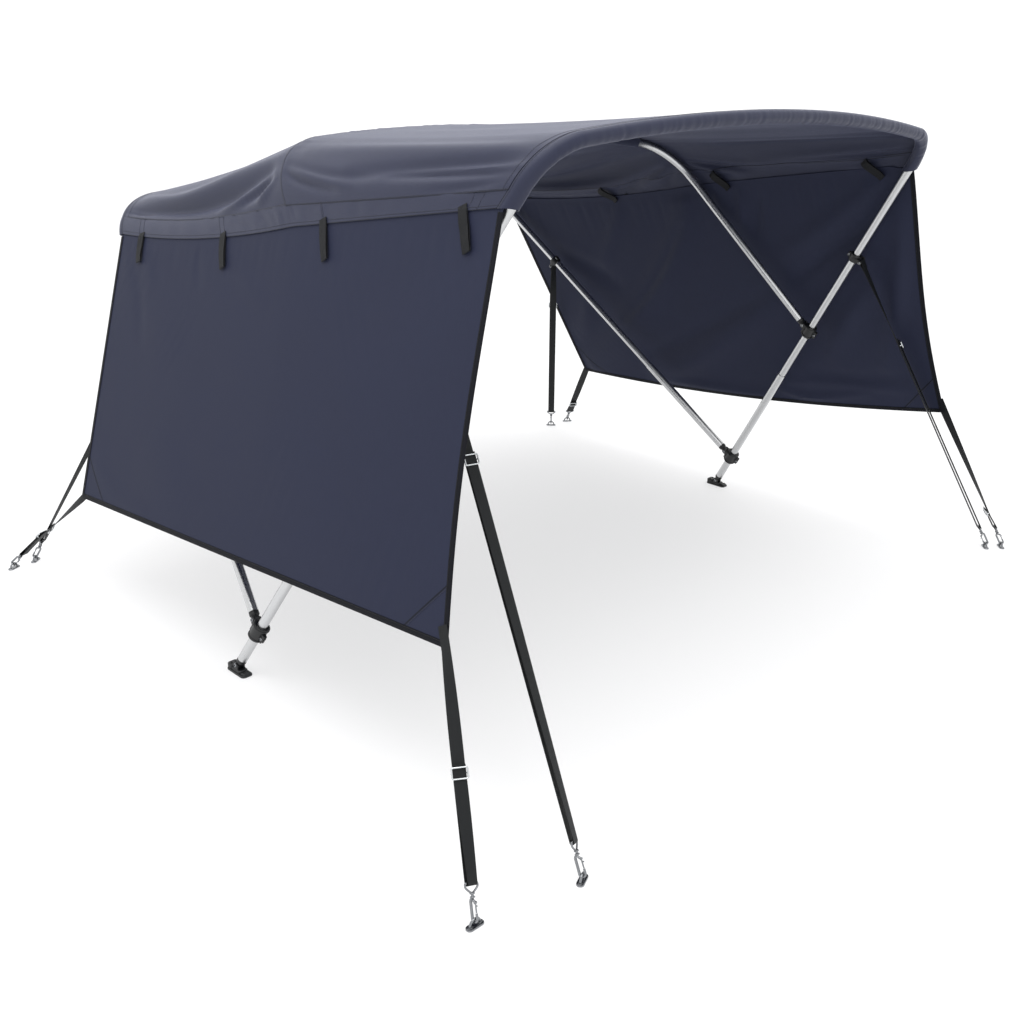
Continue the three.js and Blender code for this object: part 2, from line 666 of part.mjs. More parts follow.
// Fork from root to pin, and the plug on the foot of the leg that turns in it
function forkAndPlug(root, pin, foot, leg, across, plug, radius) {
  const direction = towards(root, pin);
  const side = flatten(across, direction);
  const span = root.distanceTo(pin) + CHEEK.width / 2;
  const cheeks = [-1, 1].map((sign) => block(
    move(move(root, direction, span / 2), side, sign * CHEEK.offset),
    [direction, side, cross(direction, side)],
    [span, CHEEK.thick, CHEEK.width],
  ));
  const start = foot.distanceTo(pin) - TONGUE.behind;
  const end = plug[0] + SINK;
  return [
    ...cheeks,
    rod(move(pin, across, -PIN.half), move(pin, across, PIN.half), PIN.radius, WIRE_SIDES),
    block(
      move(foot, leg, (start + end) / 2),
      [leg, across, cross(leg, across)],
      [end - start, TONGUE.width, TONGUE.depth],
    ),
    rod(move(foot, leg, plug[0]), move(foot, leg, plug[1]), radius, TUBE_SIDES),
  ];
}

// Jaw that slides on the main leg and carries a leg of another bow
function jaw(side, sizes, radius, bow) {
  const centre = main.axis(main.placeAt(side, sizes.height));
  const axis = towards(centre, main.axis(main.placeAt(side, sizes.height + 50)));
  const bore = radius + RING_CLEARANCE;
  const { foot, leg } = legFrom(bow, side);
  const across = cross(leg, axis);
  const out = flatten(leg, axis);
  const root = move(foot, leg, bore + SINK);
  const bridgeSizes = [JAW_BRIDGE.thick, JAW_BRIDGE.width, sizes.length - JAW_BRIDGE.shorter];
  return join(
    ringRound(centre, axis, bore, sizes.wall, sizes.length),
    block(move(centre, out, bore + sizes.wall), [out, across, axis], bridgeSizes),
    ...forkAndPlug(root, move(foot, leg, sizes.reach), foot, leg, across, sizes.plug, radius),
  );
}

function roundedPlate({ length, width, height, corner }) {
  const points = [[1, 1], [-1, 1], [-1, -1], [1, -1]].flatMap(([x, y], quarter) => (
    [0, 0.5, 1].map((share) => {
      const angle = ((quarter + share) * Math.PI) / 2;
      const centre = new THREE.Vector2(x * (length / 2 - corner), y * (width / 2 - corner));
      return centre.add(new THREE.Vector2(Math.cos(angle), Math.sin(angle)).multiplyScalar(corner));
    })
  ));
  return new THREE.ExtrudeGeometry(new THREE.Shape(points), { depth: height, bevelEnabled: false });
}

function deckHinge(side) {
  const { foot, leg } = legFrom(main, side);
  const pin = move(foot, leg, DECK_PIN);
  const plate = roundedPlate(HINGE_PLATE).translate(pin.x, pin.y, 0);
  const across = cross(leg, vec(1, 0, 0));
  const root = vec(pin.x, pin.y, HINGE_PLATE.height - SINK);
  return join(plate, ...forkAndPlug(root, pin, foot, leg, across, DECK_PLUG, LOWER_TUBE_RADIUS));
}

function hollowFold(u, v, { from, to, depth, width }, aspect) {
  const start = new THREE.Vector2(from[0] * aspect, from[1]);
  const run = new THREE.Vector2(to[0] * aspect, to[1]).sub(start);
  const point = new THREE.Vector2(u * aspect, v).sub(start);
  const share = THREE.MathUtils.clamp(point.dot(run) / run.lengthSq(), 0, 1);
  const distance = point.distanceTo(run.multiplyScalar(share)) / width;
  return depth * Math.exp(-distance * distance);
}

// Points on a wall's outer face: rows from the top edge down, columns so that the normals point out
function wallGrid(key) {
  const { side, frontFoot, rearFoot, hollow, sag } = WALLS[key];
  const { hem, seam } = sideColumns(side);
  const behindValance = (row, rise) => {
    const up = towards(canopy[row][hem], canopy[row][seam]);
    return move(move(canopy[row][hem], up, rise), canopyNormals[row][hem], -CLOTH - WALL_BEHIND);
  };
  const topEdge = (rise, endRise) => {
    const inside = canopy.map((_, row) => {
      const besideSleeve = row <= 1 || row >= LAST_ROW - 1;
      return behindValance(row, besideSleeve ? endRise : rise);
    });
    inside[0].addScaledVector(main.backward, -WALL_REACH.front);
    inside[LAST_ROW].addScaledVector(rear.backward, WALL_REACH.rear);
    const strip = (end, next) => move(end, towards(end, next), EDGE_STRIP);
    inside.splice(1, 0, strip(inside[0], inside[1]));
    inside.splice(-1, 0, strip(inside.at(-1), inside.at(-2)));
    return inside;
  };
  const hidden = topEdge(WALL_TUCK, -WALL_START);
  const hanging = topEdge(-WALL_START - 2, -WALL_START - 2);
  const length = hanging[0].distanceTo(hanging.at(-1));
  const height = hanging[0].distanceTo(vec(...frontFoot));
  const shares = hanging.map((point) => hanging[0].distanceTo(point) / length);
  const rows = [0, ...WALL_ROWS, 1 - EDGE_STRIP / height, 1].map((v) => hanging.map((top, k) => {
    const u = shares[k];
    const bottom = move(mix(vec(...frontFoot), vec(...rearFoot), u), UP, -4 * sag * u * (1 - u));
    const cut = hollow * Math.sin(Math.PI * v ** 1.3) * (1 - u);
    return move(mix(top, bottom, v), vec(1, 0, 0), -cut);
  }));
  const grid = [hidden, ...rows].map((row) => (side > 0 ? row.reverse() : row));
  const normals = gridNormals(grid);
  const ramp = THREE.MathUtils.smoothstep;
  return grid.map((row, i) => row.map((point, k) => {
    const u = shares[side > 0 ? row.length - 1 - k : k];
    const v = i === 0 ? 0 : [0, ...WALL_ROWS, 1, 1][i - 1];
    const free = ramp(u, 0.01, 0.1) * (1 - ramp(u, 0.9, 0.99)) * ramp(v, 0, 0.12) * (1 - ramp(v, 0.85, 1));
    const offset = WALL_FOLDS[key].reduce((sum, fold) => sum + hollowFold(u, v, fold, length / height), 0);
    return move(point, normals[i][k], free * offset);
  }));
}

const walls = Object.fromEntries(Object.keys(WALLS).map((key) => {
  const grid = wallGrid(key);
  return [key, { grid, normals: gridNormals(grid), side: WALLS[key].side }];
}));

// Binding folded round the front, lower and rear edges of a wall
function wallBinding({ grid, normals }) {
  const bottom = grid.length - 1;
  const lastColumn = grid[0].length - 1;
  const at = (i, k) => ({ point: grid[i][k], normal: normals[i][k] });
  const besideStart = (k) => {
    const [high, low] = [at(1, k), at(2, k)];
    const share = BINDING.start / high.point.distanceTo(low.point);
    const normal = mix(high.normal, low.normal, share).normalize();
    return { point: mix(high.point, low.point, share), normal };
  };
  // Leaves out the narrow strips along the edges
  const bare = (k, last) => k > 1 && k < last - 1;
  const upright = (k) => grid.map((_, i) => at(i, k)).filter((_, i) => bare(i, bottom));
  const edge = (k) => [besideStart(k), ...upright(k), at(bottom, k)];
  const lower = grid[0].map((_, k) => at(bottom, k)).filter((_, k) => bare(k, lastColumn));
  const stations = [...edge(0), ...lower, ...edge(lastColumn).reverse()];
  const inwards = stations.slice(1).map((station, k) => {
    const run = towards(stations[k].point, station.point);
    return cross(mix(stations[k].normal, station.normal, 0.5), run);
  });
  const facing = Math.sign(inwards[0].dot(towards(grid[bottom][0], grid[bottom][lastColumn])));
  const outside = BINDING.slot / 2 + BINDING.plate;
  const section = asVectors([
    [BINDING.leg, outside], [-BINDING.bottom - BINDING.plate, outside],
    [-BINDING.bottom - BINDING.plate, -outside], [BINDING.leg, -outside],
    [BINDING.leg, -BINDING.slot / 2], [-BINDING.bottom, -BINDING.slot / 2],
    [-BINDING.bottom, BINDING.slot / 2], [BINDING.leg, BINDING.slot / 2],
  ]);
  const rings = stations.map(({ point, normal }, k) => {
    const [before, after] = [inwards[Math.max(k - 1, 0)], inwards[Math.min(k, inwards.length - 1)]];
    const inward = before.clone().add(after).multiplyScalar(facing / (1 + before.dot(after)));
    return placeSection(section, move(point, normal, -CLOTH / 2), inward, normal);
  });
  return loft(rings, section);
}

// Frame of a strap: its top, the deck eye's wire, its directions there and the bar of its hook
function strapLine(strap) {
  const eye = vec(...strap.pad, EYE.height);
  const line = strap.face ? wallAnchor(strap, eye) : slideAnchor(strap, eye);
  const down = towards(line.top, eye);
  const across = cross(down, UP).multiplyScalar(Math.sign(cross(down, UP).dot(line.topAcross)) || 1);
  const bar = move(eye, down, -(HOOK.slack + HOOK.straight + HOOK.bail));
  const hookAcross = across.clone().applyAxisAngle(down, strap.turn ?? 0);
  const hookNormal = cross(hookAcross, down);
  const lay = strap.lay ?? 1;
  return { ...line, eye, down, across, normal: cross(across, down), hookAcross, hookNormal, lay, bar };
}

function slideAnchor({ side, from }, eye) {
  const [bow, height] = from === 'main' ? [main, MAIN_SLIDE] : [rear, REAR_SLIDE];
  const place = bow.placeAt(side, height);
  const centre = bow.axis(place);
  const axis = bow.tangent(place);
  const out = flatten(towards(centre, eye), axis);
  return { centre, axis, out, top: move(centre, out, SLIDE.reach), topAcross: cross(axis, out) };
}

function wallAnchor({ side, from, face }, eye) {
  const { grid, normals } = side < 0 ? walls.right : walls.left;
  const column = (from === 'frontFoot') === (side < 0) ? 0 : grid[0].length - 1;
  const corner = grid.at(-1)[column];
  const outward = normals.at(-1)[column].clone().multiplyScalar(face);
  const middle = move(corner, outward, (-face * CLOTH) / 2);
  const lift = BINDING.slot / 2 + BINDING.plate + GAP + WEBBING.thick / 2;
  const down = flatten(towards(corner, eye), outward);
  const lifted = move(middle, outward, lift);
  return {
    sewn: move(lifted, down, -STRAP_HOLD),
    sewnNormal: outward,
    top: move(lifted, down, STRAP_BELOW),
    topAcross: cross(outward, down),
  };
}

function webbingRing(point, across, normal) {
  const [x, y] = [WEBBING.width / 2, WEBBING.thick / 2];
  return placeSection(asVectors([[-x, -y], [x, -y], [x, y], [-x, y]]), point, across, normal);
}

function strap(data) {
  const line = strapLine(data);
  const { top, down, across, eye, bar } = line;
  const length = top.distanceTo(bar);
  const buckle = top.distanceTo(eye) - data.buckle;
  const loop = BAR_RADIUS + GAP + LOOP_SLACK + WEBBING.thick / 2;
  const pitch = WEBBING.thick + GAP;
  const twistStart = data.face ? 0 : TAIL.length;
  const twistEnd = buckle - BUCKLE.length / 2 - BUCKLE_LEAD.before;
  const afterBuckle = buckle + BUCKLE.length / 2 + BUCKLE_LEAD.after;
  const twist = line.topAcross.angleTo(across);
  const steps = Math.ceil(twist / TWIST_STEP) + 1;
  const hookSteps = Math.ceil(Math.abs(data.turn ?? 0) / TWIST_STEP) + 1;
  const shareOf = (distance, from, to) => THREE.MathUtils.clamp((distance - from) / (to - from), 0, 1);
  const turned = (distance) => {
    const start = flatten(line.topAcross, down);
    const turn = new THREE.Quaternion().setFromUnitVectors(start, across);
    turn.copy(new THREE.Quaternion().slerp(turn, shareOf(distance, twistStart, twistEnd)));
    const hookTurn = shareOf(distance, afterBuckle, length) * (data.turn ?? 0);
    return start.applyQuaternion(turn).applyAxisAngle(down, hookTurn);
  };
  const ply = (startLift, endLift) => Array.from({ length: hookSteps }, (_, k) => (
    [lerp(afterBuckle, length, k / hookSteps), lerp(startLift, endLift, k / hookSteps)]
  ));
  const arc = (centre, sign) => Array.from({ length: LOOP_STEPS + 1 }, (_, k) => {
    const angle = (k / LOOP_STEPS - 0.5) * Math.PI;
    return [centre + sign * loop * Math.cos(angle), sign * loop * Math.sin(angle)];
  });
  const path = [];
  if (!data.face) {
    path.push([TAIL.free, pitch]);
    path.push(...arc(0, -1));
  }
  for (let k = 0; k <= steps; k += 1) path.push([lerp(twistStart, twistEnd, k / steps), 0]);
  path.push(...ply(0, -loop), ...arc(length, 1), ...ply(BUCKLE.lift, loop).reverse());
  path.push([twistEnd, BUCKLE.lift]);
  const points = path.map(([distance, lift]) => {
    const side = turned(distance);
    return { side, point: move(move(top, down, distance), cross(side, down), lift * line.lay) };
  });
  if (data.face) points.unshift({ side: line.topAcross, point: line.sewn });
  const rings = points.map(({ point, side }, k) => {
    const before = points[Math.max(k - 1, 0)].point;
    const after = points[Math.min(k + 1, points.length - 1)].point;
    const runs = [towards(before, point), towards(point, after)].filter((run) => run.lengthSq() > 0.5);
    const run = runs.length > 1 ? runs[0].clone().add(runs[1]).normalize() : runs[0];
    const stretch = 1 / runs[0].dot(run);
    return webbingRing(point, side, cross(side, run).multiplyScalar(stretch));
  });
  return loft(rings, asVectors([[-1, -1], [1, -1], [1, 1], [-1, 1]]));
}

// Tri-glide buckle: a frame over the doubled webbing and a bar between its two layers
function buckleSolid(data) {
  const { down, across, normal, eye, lay } = strapLine(data);
  const centre = move(eye, down, -data.buckle);
  const front = BUCKLE.lift + WEBBING.thick / 2 + GAP + BUCKLE.plate / 2;
  const railPlace = (WEBBING.width + BUCKLE.rail) / 2 + GAP;
  const railBottom = WEBBING.thick / 2 + GAP;
  const railHeight = front + BUCKLE.plate / 2 - railBottom;
  const at = (x, y, z) => move(move(move(centre, down, x), across, y), normal, z * lay);
  const piece = (place, sizes) => block(place, [down, across, normal], sizes);
  const endBar = (BUCKLE.length - BUCKLE.bar) / 2;
  const width = 2 * railPlace + BUCKLE.rail;
  const between = (railBottom + BUCKLE.lift - WEBBING.thick / 2 - GAP) / 2;
  return join(
    piece(at(-endBar, 0, front), [BUCKLE.bar, width, BUCKLE.plate]),
    piece(at(endBar, 0, front), [BUCKLE.bar, width, BUCKLE.plate]),
    piece(at(0, -railPlace, railBottom + railHeight / 2), [BUCKLE.length, BUCKLE.rail, railHeight]),
    piece(at(0, railPlace, railBottom + railHeight / 2), [BUCKLE.length, BUCKLE.rail, railHeight]),
    piece(at(0, 0, between), [BUCKLE.bar, width - BUCKLE.rail, 2 * (between - railBottom)]),
  );
}

// Slide on a bow with two cheeks and the bar that the strap loops round
function slide(data) {
  const { centre, axis, out, top, topAcross } = strapLine(data);
  const inner = WEBBING.width / 2 + SLIDE.play;
  const depth = SLIDE.reach + SLIDE.rim;
  const cheeks = [-1, 1].map((sign) => block(
    move(move(centre, out, depth / 2), topAcross, sign * (inner + SLIDE.cheek / 2)),
    [out, topAcross, axis],
    [depth, SLIDE.cheek, SLIDE.cheekLength],
  ));
  const end = inner + SLIDE.cheek / 2;
  return join(
    ringRound(centre, axis, TUBE_RADIUS + RING_CLEARANCE, SLIDE.wall, SLIDE.length),
    ...cheeks,
    rod(move(top, topAcross, -end), move(top, topAcross, end), BAR_RADIUS, WIRE_SIDES),
  );
}

// Snap hook with its swivel and the bail that holds the webbing
function snapHook(data) {
  const { down, hookAcross: across, hookNormal: normal, eye, bar } = strapLine(data);
  const lower = move(eye, down, -HOOK.slack);
  const upper = move(lower, down, -HOOK.straight);
  const halfTurn = (centre, first) => Array.from({ length: LOOP_STEPS + 1 }, (_, k) => {
    const angle = first + (k / LOOP_STEPS) * Math.PI;
    const outward = down.clone().multiplyScalar(Math.cos(angle)).addScaledVector(normal, Math.sin(angle));
    return placeSection(circle(HOOK.wire, THIN_SIDES), move(centre, outward, HOOK.half), across, outward);
  });
  const ovalRings = [...halfTurn(lower, -Math.PI / 2), ...halfTurn(upper, Math.PI / 2)];
  const barrel = HOOK.barrel.map((distance) => move(upper, down, -distance));
  const bailHalf = [[HOOK.bar, 0], [HOOK.bar, HOOK.shoulder], [HOOK.neckHalf, HOOK.neck]];
  const bailPoints = [...bailHalf.map(([aside, below]) => [-aside, below]), ...bailHalf.toReversed()]
    .map(([aside, below]) => move(move(bar, across, aside), down, below));
  return join(
    loftLoop(ovalRings),
    rod(...barrel, HOOK.barrelRadius, WIRE_SIDES),
    rod(move(bar, across, -HOOK.bar), move(bar, across, HOOK.bar), BAR_RADIUS, WIRE_SIDES),
    tubeThrough(bailPoints, bailPoints.map(() => normal), HOOK.side, THIN_SIDES),
  );
}

// Deck eye: a plate with a wire arch, square to the strap that it holds
function deckEye(data) {
  const across = flatten(strapLine(data).hookAcross, UP);
  const foot = vec(...data.pad, 0);
  const turn = Math.atan2(across.y, across.x);
  const plate = roundedPlate(EYE_PLATE).rotateZ(turn).translate(foot.x, foot.y, 0);
  const centre = EYE.height - EYE.half * Math.cos(Math.PI / EYE_STEPS / 2);
  const arch = Array.from({ length: EYE_STEPS + 1 }, (_, k) => {
    const angle = (k / EYE_STEPS) * Math.PI;
    return [-EYE.half * Math.cos(angle), centre + EYE.half * Math.sin(angle)];
  });
  const foundation = EYE_PLATE.height / 2;
  const path = [[-EYE.half, foundation], ...arch, [EYE.half, foundation]]
    .map(([aside, high]) => move(move(foot, across, aside), UP, high));
  const square = cross(across, UP);
  return join(plate, tubeThrough(path, path.map(() => square), EYE.wire, THIN_SIDES));
}

const group = new THREE.Group();
group.position.x = CENTRE_SHIFT_X;

function add(name, geometry, finish) {
  const mesh = new THREE.Mesh(geometry, new THREE.MeshStandardMaterial(COLOURS[finish]));
  mesh.name = name;
  group.add(mesh);
}

const CANOPY_COLUMNS = [1, LAST_COLUMN - 1];
add('top_panel_front', canopyPiece([0, MIDDLE_ROW], CANOPY_COLUMNS), 'canvas');
add('top_panel_rear', canopyPiece([MIDDLE_ROW, LAST_ROW], CANOPY_COLUMNS), 'canvas');
add('front_sleeve', sleeve(main, FRONT_SLEEVE, 0), 'canvas');
add('middle_sleeve', sleeve(middle, MIDDLE_SLEEVE, CORNER_STEPS + 1), 'canvas');
add('rear_sleeve', sleeve(rear, REAR_SLEEVE, 0), 'canvas');
add('main_bow', upperTube(main, [MAIN_LEG_JOINT, MAIN_SLIDE]), 'aluminium');
add('middle_bow', upperTube(middle, [heightAt(middle, 1, UPPER_JAW.plug[1] + 2 * GAP)]), 'aluminium');
add('rear_bow', upperTube(rear, [REAR_LEG_JOINT, REAR_SLIDE]), 'aluminium');

for (const [key, wall] of Object.entries(walls)) {
  const { side } = wall;
  add(`valance_${key}`, valance(side), 'canvas');
  add(`wall_${key}`, clothSolid(wall.grid, wall.normals, CLOTH), 'wallCanvas');
  add(`wall_binding_${key}`, wallBinding(wall), 'binding');
  add(`main_lower_tube_${key}`, lowerTube(main, side, DECK_PLUG, MAIN_LEG_JOINT), 'aluminium');
  add(`rear_lower_tube_${key}`, lowerTube(rear, side, LOWER_JAW.plug, REAR_LEG_JOINT), 'aluminium');
  add(`deck_hinge_${key}`, deckHinge(side), 'nylon');
  add(`lower_jaw_${key}`, jaw(side, LOWER_JAW, LOWER_TUBE_RADIUS, rear), 'nylon');
  add(`upper_jaw_${key}`, jaw(side, UPPER_JAW, TUBE_RADIUS, middle), 'nylon');
}

for (const data of STRAPS) {
  if (!data.face) add(`slide_${data.name}`, slide(data), 'nylon');
  add(`strap_${data.name}`, strap(data), 'webbing');
  add(`buckle_${data.name}`, buckleSolid(data), 'steel');
  add(`hook_${data.name}`, snapHook(data), 'steel');
  add(`deck_eye_${data.name}`, deckEye(data), 'steel');
}

export default group;
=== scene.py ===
"""Looks of a bimini top with its folding frame, side walls, deck straps and fittings.

Sizes are in millimetres in the part's own frame and become metres when a mesh is made.
A side is +1 for left and -1 for right. +X is the open front.
"""
import math

import bmesh
import bpy
import numpy as np
from mathutils import Matrix, Vector


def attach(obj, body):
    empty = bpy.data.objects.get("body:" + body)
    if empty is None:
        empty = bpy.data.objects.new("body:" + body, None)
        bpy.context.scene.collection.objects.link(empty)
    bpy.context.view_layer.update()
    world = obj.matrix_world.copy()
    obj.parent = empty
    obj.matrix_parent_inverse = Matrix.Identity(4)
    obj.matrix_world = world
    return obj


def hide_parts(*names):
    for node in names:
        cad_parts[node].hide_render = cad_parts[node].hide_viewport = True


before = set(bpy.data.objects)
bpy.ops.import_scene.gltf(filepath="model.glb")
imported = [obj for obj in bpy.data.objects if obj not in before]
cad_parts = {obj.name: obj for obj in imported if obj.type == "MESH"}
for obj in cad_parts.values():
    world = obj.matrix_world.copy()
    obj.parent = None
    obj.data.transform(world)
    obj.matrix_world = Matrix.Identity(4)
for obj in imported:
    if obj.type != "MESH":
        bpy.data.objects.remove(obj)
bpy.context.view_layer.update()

MM = 0.001
CENTRE_SHIFT = np.array([-62.46, 0, 0])
SIDES = {"right": -1, "left": 1}
GAP = 0.4
FABRIC = 1.2                    # shown thickness of canopy and walls
SHEET = 2.0                     # thickness that the solids give them
UP = np.array([0.0, 0.0, 1.0])
FAR = 1000.0                    # stands for no seam nearby

TUBE_RADIUS = 11.1
LOWER_TUBE_RADIUS = 12.7
BOWS = {
    "main": {
        "hinge": (0, 0), "tilt": 58.8, "half_width": 1024, "lean": 0.175, "crown": 1562.4,
        "crown_radius": 4650, "corner_radius": 131, "racking": 0.023, "back": (-0.996, -0.084),
        "covers": (23, 21, 13.9), "hem": 1378, "seam": 1425,
    },
    "middle": {
        "hinge": (398.3, 659), "tilt": 132.5, "half_width": 886, "lean": 0.203, "crown": 818.9,
        "crown_radius": 4200, "corner_radius": 202, "racking": 0.042, "back": (-0.989, -0.148),
        "covers": (21, 15.5, 13.9), "hem": 563, "seam": 628,
    },
    "rear": {
        "hinge": (79.7, 131.8), "tilt": 139, "half_width": 995, "lean": 0.194, "crown": 1439.4,
        "crown_radius": 4200, "corner_radius": 178, "racking": 0, "back": (-0.976, -0.218),
        "covers": (25, 17, 13.9), "hem": 1258, "seam": 1320,
    },
}
MAIN_LEG_JOINT = 573
REAR_LEG_JOINT = 440
DECK_PIN = 24
DECK_PLUG = (36, 47)
LOWER_JAW = {"height": 154, "length": 44, "wall": 6.5, "reach": 31, "plug": (42, 53)}
UPPER_JAW = {"height": 770, "length": 40, "wall": 5.5, "reach": 27, "plug": (37, 46)}
SLIDE_HEIGHTS = {"front": 1071, "rear": 956}
SEAM_BACK = 10                  # panel edges lie this far inside of the first and last bow


def unit(v):
    v = np.asarray(v, float)
    return v / np.linalg.norm(v, axis=-1, keepdims=True)


def cross(a, b):
    return unit(np.cross(a, b))


def flatten(v, normal):
    v = np.asarray(v, float)
    return unit(v - np.sum(v * normal, -1, keepdims=True) * normal)


def smoothstep(x, low=0.0, high=1.0):
    x = np.clip((np.asarray(x, float) - low) / (high - low), 0, 1)
    return x * x * (3 - 2 * x)


def mix(a, b, share):
    return a + (b - a) * share


class Bow:
    """A bow. Places on it are signed lengths from the middle of its crown, + to the left."""

    def __init__(self, sizes):
        self.__dict__.update(sizes)
        tilt = math.radians(self.tilt)
        self.rise = np.array([math.cos(tilt), 0, math.sin(tilt)])
        self.backward = unit((self.back[0], 0, self.back[1]))
        self.leg_up = unit((-self.lean, 1))
        inward = unit((-1, -self.lean))
        self.crown_centre = np.array([0, self.crown - self.crown_radius])
        foot = np.array([self.half_width, 0])
        start = foot + inward * self.corner_radius - self.crown_centre
        along = start @ self.leg_up
        reach = (self.crown_radius - self.corner_radius) ** 2
        run = math.sqrt(along ** 2 - start @ start + reach) - along
        self.corner_centre = self.crown_centre + start + self.leg_up * run
        self.leg_top = foot + self.leg_up * run
        crown_end = self.corner_centre - self.crown_centre
        leg_end = self.leg_top - self.corner_centre
        self.crown_angle = math.atan2(crown_end[1], crown_end[0])
        self.crown_length = (math.pi / 2 - self.crown_angle) * self.crown_radius
        turn = self.crown_angle - math.atan2(leg_end[1], leg_end[0])
        self.corner_end = self.crown_length + turn * self.corner_radius

    def flat(self, s):
        """Half width and height at lengths s from the crown's middle."""
        on_crown = (s <= self.crown_length)[:, None]
        crown_turn = math.pi / 2 - s / self.crown_radius
        corner_turn = self.crown_angle - (s - self.crown_length) / self.corner_radius
        angle = np.where(on_crown[:, 0], crown_turn, corner_turn)
        centre = np.where(on_crown, self.crown_centre, self.corner_centre)
        radius = np.where(on_crown, self.crown_radius, self.corner_radius)
        arc = centre + radius * np.stack([np.cos(angle), np.sin(angle)], 1)
        leg = self.leg_top + self.leg_up * (self.corner_end - s)[:, None]
        return np.where((s > self.corner_end)[:, None], leg, arc)

    def axis(self, places):
        places = np.atleast_1d(np.asarray(places, float))
        side = np.where(places < 0, -1, 1)
        x, y = self.flat(np.abs(places)).T
        climb = y - self.racking * side * x * y / self.crown
        base = np.stack([np.full_like(x, self.hinge[0]), side * x, np.full_like(x, self.hinge[1])], 1)
        return base + self.rise * climb[:, None]

    def tangent(self, places):
        places = np.atleast_1d(np.asarray(places, float))
        return unit(self.axis(places + 0.5) - self.axis(places - 0.5))

    def length_at(self, height):
        if height < self.leg_top[1]:
            return self.corner_end + (self.leg_top[1] - height) / self.leg_up[1]
        lift = math.asin((height - self.corner_centre[1]) / self.corner_radius)
        return self.crown_length + (self.crown_angle - lift) * self.corner_radius

    def place_at(self, side, height):
        half_width = self.half_width - self.lean * height
        return side * self.length_at(height * (1 + self.racking * side * half_width / self.crown))

    def height_after(self, side, distance):
        """Height on a leg at a distance from the hinge."""
        foot, higher = self.axis([self.place_at(side, 0), self.place_at(side, 100)])
        return 100 * distance / np.linalg.norm(higher - foot)

    def outward(self, places):
        return cross(self.tangent(places), self.backward)

    def beside(self, places, out, back):
        across = np.cross(self.tangent(places), self.backward)
        stretch = 1 / np.linalg.norm(across, axis=1, keepdims=True)
        out = np.broadcast_to(np.asarray(out, float), (len(across),))[:, None]
        back = np.broadcast_to(np.asarray(back, float), (len(across),))[:, None]
        return self.axis(places) + across * stretch * out + self.backward * back * stretch

    def columns(self, q):
        """Places for q: size 0 hem, 1 seam, 2 end of the crown, 3 its middle. Its sign is the side."""
        q = np.asarray(q, float)
        side = np.where(np.signbit(q), -1, 1)
        ends = {s: [abs(self.place_at(s, h)) for h in (self.hem, self.seam)] for s in (-1, 1)}
        hem, seam = (np.where(side < 0, ends[-1][k], ends[1][k]) for k in (0, 1))
        size = np.abs(q)
        length = np.where(size < 1, mix(hem, seam, size), mix(seam, self.crown_length, size - 1))
        return side * np.where(size > 2, self.crown_length * (3 - size), length)

    def covers_at(self, q):
        return np.interp(np.abs(q), (0, 1, 2, 3), (*self.covers, self.covers[2]))


MAIN, MIDDLE, REAR = (Bow(BOWS[key]) for key in ("main", "middle", "rear"))
END_BOWS = {"front": MAIN, "rear": REAR}


# Meshes

SHARP_DEGREES = 32               # edges that turn more than this are drawn sharp


class Solid:
    """Pieces of one mesh, in millimetres, each with its texture places and distances from a seam."""

    def __init__(self):
        self.points, self.faces, self.places, self.seams, self.count = [], [], [], [], 0

    def add(self, points, faces, places=None, seam=None):
        points = np.asarray(points, float)
        self.points.append(points)
        self.faces += [tuple(self.count + k for k in face) for face in faces]
        self.places.append(np.zeros((len(points), 2)) if places is None else np.asarray(places) * MM)
        self.seams.append(np.full(len(points), FAR) if seam is None else np.ravel(seam))
        self.count += len(points)
        return self

    def make(self, name, material, slot, replaces=()):
        mesh = bpy.data.meshes.new(name)
        points = (np.concatenate(self.points) + CENTRE_SHIFT) * MM
        mesh.from_pydata(points.tolist(), [], self.faces)
        layer = mesh.uv_layers.new(name="cloth")
        corners = np.empty(len(mesh.loops), int)
        mesh.loops.foreach_get("vertex_index", corners)
        layer.data.foreach_set("uv", np.concatenate(self.places)[corners].ravel())
        seams = mesh.attributes.new("seam", "FLOAT", "POINT")
        seams.data.foreach_set("value", np.concatenate(self.seams))
        mesh.shade_smooth()
        mesh.set_sharp_from_angle(angle=math.radians(SHARP_DEGREES))
        obj = bpy.data.objects.new(name, mesh)
        bpy.context.collection.objects.link(obj)
        obj.data.materials.append(material)
        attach(obj, "root")
        if replaces:
            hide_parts(*replaces)
        return obj


def grid_faces(rows, columns, around=False):
    faces = []
    for i in range(rows - 1):
        for k in range(columns if around else columns - 1):
            n = (k + 1) % columns
            faces.append((i * columns + k, i * columns + n, (i + 1) * columns + n, (i + 1) * columns + k))
    return faces


def outward_faces(points, faces):
    """Faces turned so that a closed surface has its outside out."""
    points = np.asarray(points)
    fans = ((f[0], f[k], f[k + 1]) for f in faces for k in range(1, len(f) - 1))
    volume = sum(points[a] @ np.cross(points[b], points[c]) for a, b, c in fans)
    return faces if volume > 0 else [tuple(reversed(face)) for face in faces]


